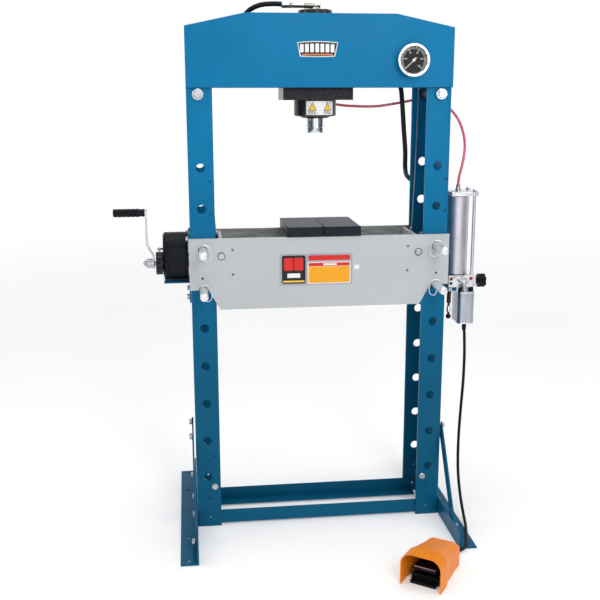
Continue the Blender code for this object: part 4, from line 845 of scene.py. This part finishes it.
def make_bed_label():
    """The bed's own sticker: a grey border, a black field with plain bars, a red bar and a yellow panel."""
    plates = (
        ("ground", -0.149, 0.113, 0.916, 1.03, LABEL_GREY, 0, 0.003),
        ("black", -0.14, -0.056, 0.923, 1.024, PRINT_BLACK, 1, 0.006),
        ("red_bar_0", -0.133, -0.1005, 0.97, 1.016, PRINT_RED, 2, 0.006),
        ("red_bar_1", -0.0965, -0.064, 0.97, 1.016, PRINT_RED, 2, 0.006),
        ("white_bar", -0.121, -0.075, 0.944, 0.96, PRINT_WHITE, 2, 0.002),
        ("yellow_bar", -0.136, -0.06, 0.928, 0.934, PRINT_YELLOW, 2, 0.001),
        ("title_bar", -0.046, 0.104, 1.005, 1.023, PRINT_RED, 1, 0.004),
        ("white_edge", -0.048, 0.106, 0.921, 0.999, PRINT_WHITE, 1, 0.004),
        ("panel", -0.045, 0.103, 0.924, 0.983, PRINT_AMBER, 2, 0.003),
        ("strip", -0.045, 0.103, 0.9845, 0.996, PRINT_RED, 2, 0.002),
        ("strip_bar", 0.008, 0.056, 0.987, 0.9935, PRINT_WHITE, 3, 0.001),
        ("mark", 0.12, 0.137, 0.97, 0.986, PRINT_WHITE, 0, 0.004),
    )
    for name, *place in plates:
        plate_on_front("label_" + name, *place)


def curved_patch(radius, start, end, low, high, steps=24):
    """A thin sticker wrapped round an upright cylinder; angles run from straight ahead."""
    def ring(r):
        turns = [math.radians(start + (end - start) * i / steps) for i in range(steps + 1)]
        return [(r * math.sin(t), -r * math.cos(t)) for t in turns]

    return prism(ring(radius) + ring(radius + CURVED_FILM)[::-1], low, high)


def curved_triangle(radius, middle, half, low, high, rows=10, columns=8):
    """A thin triangular sticker wrapped round an upright cylinder, point up."""
    def corner(bm, row, column, r):
        reach = half * (1 - row / rows)
        turn = math.radians(middle - reach + 2 * reach * column / columns)
        return bm.verts.new((r * math.sin(turn), -r * math.cos(turn), low + (high - low) * row / rows))

    bm = bmesh.new()
    skins = [[[corner(bm, i, k, r) for k in range(columns + 1)] for i in range(rows)]
             for r in (radius, radius + CURVED_FILM)]
    tips = [corner(bm, rows, 0, r) for r in (radius, radius + CURVED_FILM)]
    for skin, tip in zip(skins, tips):
        for near, far in zip(skin, skin[1:]):
            for k in range(columns):
                bm.faces.new([near[k], near[k + 1], far[k + 1], far[k]])
        for k in range(columns):
            bm.faces.new([skin[-1][k], skin[-1][k + 1], tip])
    inner, outer = skins
    for k in range(columns):
        bm.faces.new([inner[0][k], inner[0][k + 1], outer[0][k + 1], outer[0][k]])
    for k in (0, columns):
        for i in range(rows - 1):
            bm.faces.new([inner[i][k], inner[i + 1][k], outer[i + 1][k], outer[i][k]])
        bm.faces.new([inner[-1][k], tips[0], tips[1], outer[-1][k]])
    return finish_mesh(bm, "triangle")


def make_barrel_label():
    """A white sticker round the barrel with two plain triangles and bars under them."""
    place = at(CYLINDER_X, MID_Y, 0)
    radius = 0.0747
    body = "cylinder_head"
    above = radius + CURVED_FILM
    show("barrel_label", curved_patch(radius, -32, 48, 1.509, 1.5565), PRINT_WHITE, place, body=body)
    for i, (start, end) in enumerate(((-22, -7), (20, 35))):
        middle = (start + end) / 2
        edge = curved_triangle(above, middle, 11.5, 1.5235, 1.553)
        show(f"barrel_mark_edge_{i}", edge, PRINT_BLACK, place, body=body)
        mark = curved_triangle(radius + 0.0007, middle, 9.2, 1.525, 1.5495)
        show(f"barrel_mark_{i}", mark, PRINT_YELLOW, place, body=body)
        for k in range(3):
            low = 1.5125 + 0.004 * k
            line = curved_patch(above, start - 4, end + 5 - 3 * k, low, low + 0.0014)
            show(f"barrel_line_{i}_{k}", line, PRINT_BLACK, place, body=body)


# ---------------------------------------------------------------- gauge
def make_gauge():
    x, z, radius = GAUGE
    centre = at(x, 0, z)
    dial = centre + Vector((0, -0.039, 0))
    show("gauge_dial", turned(disc(0.047, 0.0, 0.0004), 64), DIAL_BLACK, dial, AGAINST_Y)
    ticks = []
    for i in range(51):
        long, middle = i % 10 == 0, i % 5 == 0
        inner = 0.0315 if long else 0.0345 if middle else 0.0365
        half = 0.0009 if long else 0.0005
        turn = Matrix.Rotation(math.radians(225 - 270 * i / 50), 4, "Z")
        ticks.append((block((inner, -half, 0.0004), (0.0425, half, 0.0007)), turn))
    show("gauge_ticks", joined(ticks), PRINT_WHITE, dial, AGAINST_Y)
    band = collar(0.0436, 0.0444, 0.0004, 0.0006)
    show("gauge_scale_ring", turned(band, 64), PRINT_WHITE, dial, AGAINST_Y)
    for i in range(6):
        turn = math.radians(225 - 54 * i)
        spot = Vector((0.0268 * math.cos(turn), -0.0005, 0.0268 * math.sin(turn)))
        number = bpy.data.curves.new(f"gauge_number_{i}", "FONT")
        number.body = str(i * 10)
        number.size = 0.0085
        number.extrude = 0.0001
        number.align_x = "CENTER"
        number.align_y = "CENTER"
        guide = bpy.data.objects.new("guide", number)
        bpy.context.scene.collection.objects.link(guide)
        mesh = shape_of(guide)
        bpy.data.objects.remove(guide)
        show(f"gauge_number_{i}", mesh, PRINT_WHITE, dial + spot, AGAINST_Y)
    boss = [(0.0, 0.0), (0.005, 0.0), (0.005, 0.0018), (0.003, 0.0026), (0.0, 0.0026)]
    show("gauge_boss", turned(boss), BRIGHT_STEEL, dial + Vector((0, -0.003, 0)), AGAINST_Y,
         body="pointer")
    bezel = [(0.0476, -0.0012), (radius + 0.0004, -0.0012), (radius + 0.0004, 0.0008),
             (radius - 0.0008, 0.0022), (radius - 0.0032, 0.0026), (0.0488, 0.0016), (0.0476, 0.0004)]
    show("gauge_bezel", turned(bezel, 72), BRIGHT_STEEL, centre + Vector((0, -0.0493, 0)), AGAINST_Y)


# ---------------------------------------------------------------- cylinder
def make_cylinder_details():
    body = "cylinder_head"
    centre = at(CYLINDER_X, MID_Y, 0)
    gland = [(0.0315, 1.4992), (0.05, 1.4992), (0.052, 1.5005), (0.052, 1.5037), (0.0315, 1.5037)]
    show("barrel_gland", turned(gland, 64), BLACK_ENAMEL, centre, body=body)
    wiper = [(0.0313, 1.4965), (0.0352, 1.4965), (0.0366, 1.4978), (0.0366, 1.4995), (0.0313, 1.4995)]
    show("ram_wiper", turned(wiper, 64), RUBBER, centre, body=body)
    for i in range(6):
        turn = math.radians(60 * i + 30)
        spot = Vector((0.0435 * math.cos(turn), 0.0435 * math.sin(turn), 1.4992))
        screw_head(f"gland_screw_{i}", centre + spot, UPSIDE_DOWN, 0.0042, 0.0028, body)
    for x in (-0.088, 0.076):
        screw_head(f"carriage_screw_{x:.3f}", at(x, 0.1972, 1.5805), ALONG_Y, 0.008, 0.005, body)
    for i in range(4):
        turn = math.radians(90 * i + 45)
        spot = Vector((0.047 * math.cos(turn), 0.047 * math.sin(turn), 1.8641))
        screw_head(f"cap_screw_{i}", centre + spot, UPRIGHT, 0.0052, 0.0036, body)
    ring = [(0.0745, 1.829), (0.0751, 1.8295), (0.0751, 1.8325), (0.0745, 1.833)]
    show("barrel_top_ring", turned(ring, 72), ZINC, centre, body=body)
    outward = Vector((0.056, 0.0585, 0)).normalized()
    turn = outward.to_track_quat("Z", "Y").to_euler()
    nipple = [(0.0, -0.0035), (0.0062, -0.0035), (0.0062, 0.0), (0.0052, 0.0008), (0.0, 0.0008)]
    seat = centre + outward * 0.0775 + Vector((0, 0, 1.546))
    hexagon = prism(hex_outline(0.0135), -0.0032, 0.002)
    fitting = joined([(hexagon, Matrix()), (turned(nipple, 24), Matrix.Translation((0, 0, 0.002)))])
    show("barrel_air_nipple", fitting, BRASS, seat, turn, body=body, bevel=0.0004)
    hexagon = prism(hex_outline(0.024, 12), 0.0, 0.009)
    show("elbow_nut", hexagon, BRASS, at(CYLINDER_X + 0.003, MID_Y, 1.8642), body=body, bevel=0.001)


# ---------------------------------------------------------------- winch
def make_winch_details():
    for i, angle in enumerate((22, 75, -48)):
        turn = math.radians(angle)
        place = at(-0.5566, MID_Y + 0.071 * math.cos(turn), DRUM_Z + 0.071 * math.sin(turn))
        screw_head(f"winch_cover_screw_{i}", place, AGAINST_X, 0.0046, 0.0026)
    hex_head("crank_nut", at(-0.6142, *CRANK), AGAINST_X, 0.017, 0.0075, 0.0125, body="crank", stud=0.003)
    axle_z = CRANK[1] + 0.1802
    profile = [(0.0, 0.0), (0.0118, 0.0), (0.0136, 0.0014), (0.014, 0.006), (0.0126, 0.01), (0.0128, 0.016)]
    for i in range(5):
        start = 0.02 + i * 0.015
        profile += [(0.0144, start), (0.0148, start + 0.0055), (0.0144, start + 0.011),
                    (0.0132, start + 0.0135)]
    profile += [(0.0144, 0.0975), (0.0146, 0.102), (0.0136, 0.107), (0.01, 0.1092), (0.0, 0.1095)]
    show("crank_grip_fine", turned(profile, 40), BLACK_PLASTIC, at(-0.6147, CRANK[0], axle_z), AGAINST_X,
         body="grip", replaces=("crank_grip",))
    axle_end = [(0.0, 0.0), (0.0075, 0.0), (0.0075, 0.0018), (0.0062, 0.0026), (0.0, 0.0026)]
    show("drum_axle_end", turned(axle_end), ZINC, at(-0.5566, MID_Y, DRUM_Z), AGAINST_X)
    for side, x, y in (("left", -0.3645, 0.15), ("right", 0.365, 0.15)):
        sleeve = [(0.0027, 1.076), (0.0052, 1.076), (0.0058, 1.0775), (0.0058, 1.093), (0.0048, 1.095),
                  (0.0027, 1.095)]
        show(f"rope_ferrule_{side}", turned(sleeve, 24), ZINC, at(x, y, 0))


# ---------------------------------------------------------------- pump
def dome_nut(name, place):
    """A hexagon nut with a domed cap."""
    dome = [(0.0, 0.005), (0.0064, 0.005), (0.006, 0.0078), (0.0046, 0.0106), (0.0024, 0.0122),
            (0.0, 0.0126)]
    hexagon = prism(hex_outline(0.015, 14), 0.0, 0.0055)
    nut = joined([(hexagon, Matrix()), (turned(dome), Matrix())])
    show(name, nut, BRIGHT_STEEL, place, bevel=0.0004)


def round_port(name, place, radius, finish):
    """A plugged hole in the manifold's front face."""
    rim = [(radius * 0.45, 0.0), (radius, 0.0), (radius, 0.0018), (radius * 0.9, 0.0026),
           (radius * 0.62, 0.0026), (radius * 0.5, 0.001), (radius * 0.45, 0.0006)]
    floor = disc(radius * 0.47, 0.0, 0.0007)
    show(name, joined([(turned(rim), Matrix()), (turned(floor), Matrix())]), finish, place, AGAINST_Y)


def make_pump_details():
    for i, y in enumerate(TIE_ROD_Y):
        dome_nut(f"pump_dome_nut_{i}", at(TIE_ROD_X, y, PUMP_LID_TOP))
    for i, y in enumerate(TIE_ROD_Y):
        screw_head(f"pump_plate_screw_{i}", at(PUMP_X - 0.043, y, PUMP_LID_TOP), UPRIGHT, 0.005, 0.0034)
    tube_foot = at(AIR_TUBE_X, PUMP_Y, PUMP_LID_TOP)
    fitting = [(0.0054, 0.0), (0.01, 0.0), (0.01, 0.007), (0.0086, 0.008), (0.0086, 0.015), (0.0078, 0.016),
               (0.0078, 0.0185), (0.0054, 0.0185)]
    show("pump_air_fitting", turned(fitting), BRASS, tube_foot)
    cuff = [(0.0054, 0.0186), (0.0076, 0.0186), (0.0076, 0.0206), (0.0066, 0.0216), (0.0054, 0.0216)]
    show("pump_air_cuff", turned(cuff), PORT_RED, tube_foot)
    centre = at(AIR_X, PUMP_Y, 0)
    for name, low, high in (("low", 0.9212, 0.9232), ("high", 1.213, 1.2152)):
        show(f"cylinder_seal_{name}", turned(collar(0.0388, 0.0398, low, high), 64), RUBBER, centre)
    face = 0.0609
    for port, x, z, radius, finish in (("red_left", 0.499, 0.909, 0.0062, PORT_RED),
                                       ("red_right", 0.5745, 0.9095, 0.0062, PORT_RED),
                                       ("black", 0.499, 0.892, 0.0052, BLACK_PLASTIC)):
        round_port("port_" + port, at(x, face, z), radius, finish)
    for i, (x, z) in enumerate(((0.5095, 0.9155), (0.585, 0.885))):
        screw_head(f"manifold_screw_{i}", at(x, face, z), AGAINST_Y, 0.0036, 0.0026)
    for i, x in enumerate((0.5385, 0.5815)):
        cap = [(0.0, 0.8585), (0.0074, 0.8585), (0.008, 0.86), (0.008, 0.87), (0.0068, 0.8712),
               (0.0068, 0.8764), (0.0, 0.8764)]
        show(f"reservoir_cap_{i}", turned(cap), BLACK_PLASTIC, at(x, 0.0735, 0))
    flange = rounded_rectangle(0.5305, 0.5955, 0.0595, 0.1665, 0.018, 12)
    for part, low, high in (("flange", 0.852, 0.8583), ("foot", 0.7352, 0.7395)):
        show(f"reservoir_{part}", prism(flange, low, high), ALUMINIUM, at(0, 0, 0), bevel=0.001)
    valve = at(0.4935, 0.064, 0)
    stem = [(0.0048, 0.818), (0.0072, 0.818), (0.008, 0.82), (0.008, 0.856), (0.0092, 0.8572),
            (0.0092, 0.864), (0.0048, 0.864)]
    show("air_valve_fitting", turned(stem), BLACK_ENAMEL, valve)
    sleeve = [(0.0047, 0.785), (0.007, 0.785), (0.0078, 0.7865), (0.0078, 0.793), (0.0066, 0.795),
              (0.0066, 0.808), (0.0047, 0.808)]
    show("air_valve_sleeve", turned(sleeve), BRIGHT_STEEL, valve, body="air_valve")
    show("air_valve_hexagon", prism(hex_outline(0.021, 8), 0.8642, 0.8766), ZINC, valve, bevel=0.0008)
    for i, (x, turn) in enumerate(((0.5287, AGAINST_X), (0.5573, ALONG_X))):
        screw_head(f"lever_pivot_head_{i}", at(x, 0.0497, 0.901), turn, 0.0055, 0.0026)
    throat = [(0.0115, 0.0), (0.0145, 0.0), (0.0145, 0.002), (0.0115, 0.0035)]
    show("release_knob_collar", turned(throat, 36), ZINC, at(0.5946, 0.085, 0.897), ALONG_X,
         body="release_valve")


# ---------------------------------------------------------------- foot valve
def pedal_at(x, y, z):
    """A place given in the foot valve's own coordinates."""
    spot = Vector((x, y, z))
    spot.rotate(PEDAL_FACING)
    return at(*PEDAL_PLACE, 0) + spot


def make_hood():
    """The orange hood as a smooth moulded shell with a rolled mouth."""
    wall = 0.004
    knots = [(-0.107, 0.072, 0.116, 0.04), (-0.05, 0.071, 0.117, 0.04), (-0.02, 0.064, 0.11, 0.036),
             (0.06, 0.059, 0.09, 0.028), (0.107, 0.058, 0.08, 0.024)]
    sections = []
    for near, far in zip(knots, knots[1:]):
        for i in range(5):
            sections.append([a + (b - a) * i / 5 for a, b in zip(near, far)])
    sections.append(list(knots[-1]))

    def ring(bm, section, shrink):
        y, half, height, corner = section
        h, top, r = half - shrink, height - shrink, max(corner - shrink, 0.004)
        arch = [(-h, 0.0)] + arc((-h + r, top - r), r, 180, 90, 12) + arc((h - r, top - r), r, 90, 0, 12)
        return [bm.verts.new((x, y, z)) for x, z in arch + [(h, 0.0)]]

    bm = bmesh.new()
    outer = [ring(bm, s, 0.0) for s in sections]
    inner = [ring(bm, s, wall) for s in sections[:-1]]
    last = sections[-1]
    inner.append(ring(bm, [last[0] - wall] + last[1:], wall))
    for skin in (outer, inner):
        for near, far in zip(skin, skin[1:]):
            for i in range(len(near) - 1):
                bm.faces.new([near[i], near[i + 1], far[i + 1], far[i]])
        bm.faces.new(skin[-1])
    for i in range(len(outer[0]) - 1):
        bm.faces.new([outer[0][i], outer[0][i + 1], inner[0][i + 1], inner[0][i]])
    for i in (0, len(outer[0]) - 1):
        for k in range(len(sections) - 1):
            bm.faces.new([outer[k][i], outer[k + 1][i], inner[k + 1][i], inner[k][i]])
    bm.faces.new([outer[-1][0], outer[-1][-1], inner[-1][-1], inner[-1][0]])
    show("pedal_hood_fine", finish_mesh(bm, "hood"), ORANGE, at(*PEDAL_PLACE, 0), PEDAL_FACING,
         bevel=0.0012, segments=3, replaces=("pedal_hood",))


def make_pedal_details():
    for i in range(8):
        y = -0.07 + i * 0.0145
        z = 0.05 + (0.066 - y) * 0.0417
        rib = block((-0.037, y, z - 0.0006), (0.037, y + 0.005, z + 0.0012))
        show(f"treadle_rib_{i}", rib, STRIP_GREY if i in (0, 7) else RUBBER, at(*PEDAL_PLACE, 0),
             PEDAL_FACING, body="pedal_treadle", bevel=0.0005)
    for side in (-1, 1):
        for y in (-0.045, 0.03):
            spot = pedal_at(side * 0.0465, y, 0.0262)
            screw_head(f"pedal_screw_{side}_{y:.3f}", spot, UPRIGHT, 0.0032, 0.0022)
        axle = Euler((0, math.radians(90 * side), PEDAL_TURN))
        screw_head(f"treadle_pivot_{side}", pedal_at(side * 0.05, 0.052, 0.044), axle, 0.005, 0.0024)
    grommet = [(0.0057, -0.01), (0.0098, -0.01), (0.0098, 0.0), (0.0125, 0.0006), (0.0125, 0.004),
               (0.01, 0.006), (0.0057, 0.006)]
    end = Vector(PEDAL_ROUTE[-1]) - Vector(PEDAL_ROUTE[-2])
    place = ORIGIN + Vector(PEDAL_ROUTE[-1]) - end.normalized() * 0.006
    show("pedal_hose_grommet", turned(grommet), RUBBER, place, (-end).to_track_quat("Z", "Y").to_euler())


# ---------------------------------------------------------------- press blocks
def make_block_details():
    for side, name in SIDES:
        centre_x = 0.0104 + side * 0.0658
        body = f"block_{name}"
        for x in (-0.046, 0.046):
            for y, turn, row in ((-0.0192, AGAINST_Y, "front"), (0.2432, ALONG_Y, "rear")):
                ring = [(0.0034, 0.0), (0.0056, 0.0), (0.0056, 0.0004), (0.0044, 0.0006), (0.0034, 0.0003)]
                # Painted shade: a dark disc inside each rim stands for the shaded depth of the hole.
                dark = disc(0.0036, 0.0, 0.0002)
                place = at(centre_x + x, y, 1.1073)
                show(f"block_hole_rim_{name}_{row}_{x:.3f}", turned(ring, 24), BLOCK, place, turn,
                     body=body)
                show(f"block_hole_{name}_{row}_{x:.3f}", turned(dark, 24), RUBBER, place, turn, body=body)


dress_nodes()
make_round_pieces()
make_frame_bolts()
make_head_bolt_ends()
make_pin_details()
make_badge()
make_bed_label()
make_barrel_label()
make_gauge()
make_cylinder_details()
make_winch_details()
make_pump_details()
make_hood()
make_pedal_details()
make_block_details()


# ---------------------------------------------------------------- studio
WHITE = (1, 1, 1, 1)
FLOOR_GLOW = (0.22, 0.46)
CARD_GLOW = 0.9
OVERHEAD = 0.55
CARDS = (
    ("left", (-3.4, -4.2, 0.4), (-3.35, 0.6, 2.9)),
    ("right", (3.4, -4.2, 0.4), (3.45, 0.6, 2.9)),
    ("front", (-3.2, -4.8, 0.4), (3.2, -4.75, 2.4)),
    ("white", (-2.1, -4.7, 0.2), (0.3, -4.65, 1.8)),
)
LIGHTS = (
    ("key", (0.6, -3.6, 2.9), (0.0, 0.0, 1.6), (0.9, 1.6), 46),
    ("fill", (2.9, -1.6, 2.4), (0.2, 0.0, 1.2), (1.0, 1.6), 16),
    ("rim", (-2.9, -0.4, 2.2), (-0.3, 0.1, 1.1), (0.8, 1.8), 18),
    ("top", (0.2, 0.3, 4.2), (0.0, 0.1, 0.0), (3.0, 3.0), 60),
    ("strip", (1.35, -3.3, 1.45), (0.45, 0.0, 1.45), (0.3, 0.75), 9),
)


def stage_piece(name, mesh, finish):
    piece = bpy.data.objects.new(name, mesh)
    bpy.context.scene.collection.objects.link(piece)
    mesh.materials.append(finish)
    return piece


def make_floor():
    n = Nodes("pale_floor")
    cloud = n.noise(n.place(), 0.6, 3.0)
    n.feed("Base Color", n.mix(n.spread(cloud, 0, 1), (0.8, 0.8, 0.805), (0.84, 0.84, 0.845)))
    n.set(Roughness=0.7, Specular_IOR_Level=0.1, Emission_Color=WHITE)
    reach = n.add("ShaderNodeVectorMath", operation="LENGTH")
    n.link(n.place(), reach.inputs[0])
    n.feed("Emission Strength", n.spread(reach.outputs["Value"], *FLOOR_GLOW, 2.0, 8.0))
    stage_piece("floor", block((-40, -40, -0.02), (40, 60, 0.0)), n.material)


def make_flags():
    """Dark cards round the camera and a white one behind it, which bright metal reflects."""
    dark = Nodes("flag_grey")
    dark.set(Base_Color=(0.05, 0.05, 0.055, 1), Roughness=0.9)
    bright = Nodes("card_white")
    bright.set(Base_Color=(0.8, 0.8, 0.8, 1), Emission_Color=WHITE, Emission_Strength=CARD_GLOW)
    for name, low, high in CARDS:
        finish = bright if name == "white" else dark
        card = stage_piece(f"card_{name}", block(low, high), finish.material)
        card.visible_camera = False


def make_lights():
    """Area lights, each given by its place, aim, size and power."""
    for name, place, aim, size, power in LIGHTS:
        data = bpy.data.lights.new(name, "AREA")
        data.shape = "RECTANGLE"
        data.energy = power
        data.size, data.size_y = size
        light = bpy.data.objects.new(name, data)
        bpy.context.scene.collection.objects.link(light)
        light.location = at(*place)
        light.rotation_euler = (at(*aim) - light.location).to_track_quat("-Z", "Y").to_euler()


def make_world():
    """White round the horizon and darker overhead."""
    world = bpy.data.worlds.new("studio")
    world.use_nodes = True
    tree = world.node_tree
    source = tree.nodes.new("ShaderNodeTexCoord")
    split = tree.nodes.new("ShaderNodeSeparateXYZ")
    height = tree.nodes.new("ShaderNodeMapRange")
    for key, number in (("From Min", 0.3), ("From Max", 0.6), ("To Min", 1.0), ("To Max", OVERHEAD)):
        height.inputs[key].default_value = number
    tree.links.new(source.outputs["Generated"], split.inputs["Vector"])
    tree.links.new(split.outputs["Z"], height.inputs["Value"])
    tree.nodes["Background"].inputs["Color"].default_value = WHITE
    tree.links.new(height.outputs["Result"], tree.nodes["Background"].inputs["Strength"])
    bpy.context.scene.world = world
    bpy.context.scene.view_settings.view_transform = "Standard"


def make_studio():
    make_floor()
    make_flags()
    make_lights()
    make_world()


make_studio()
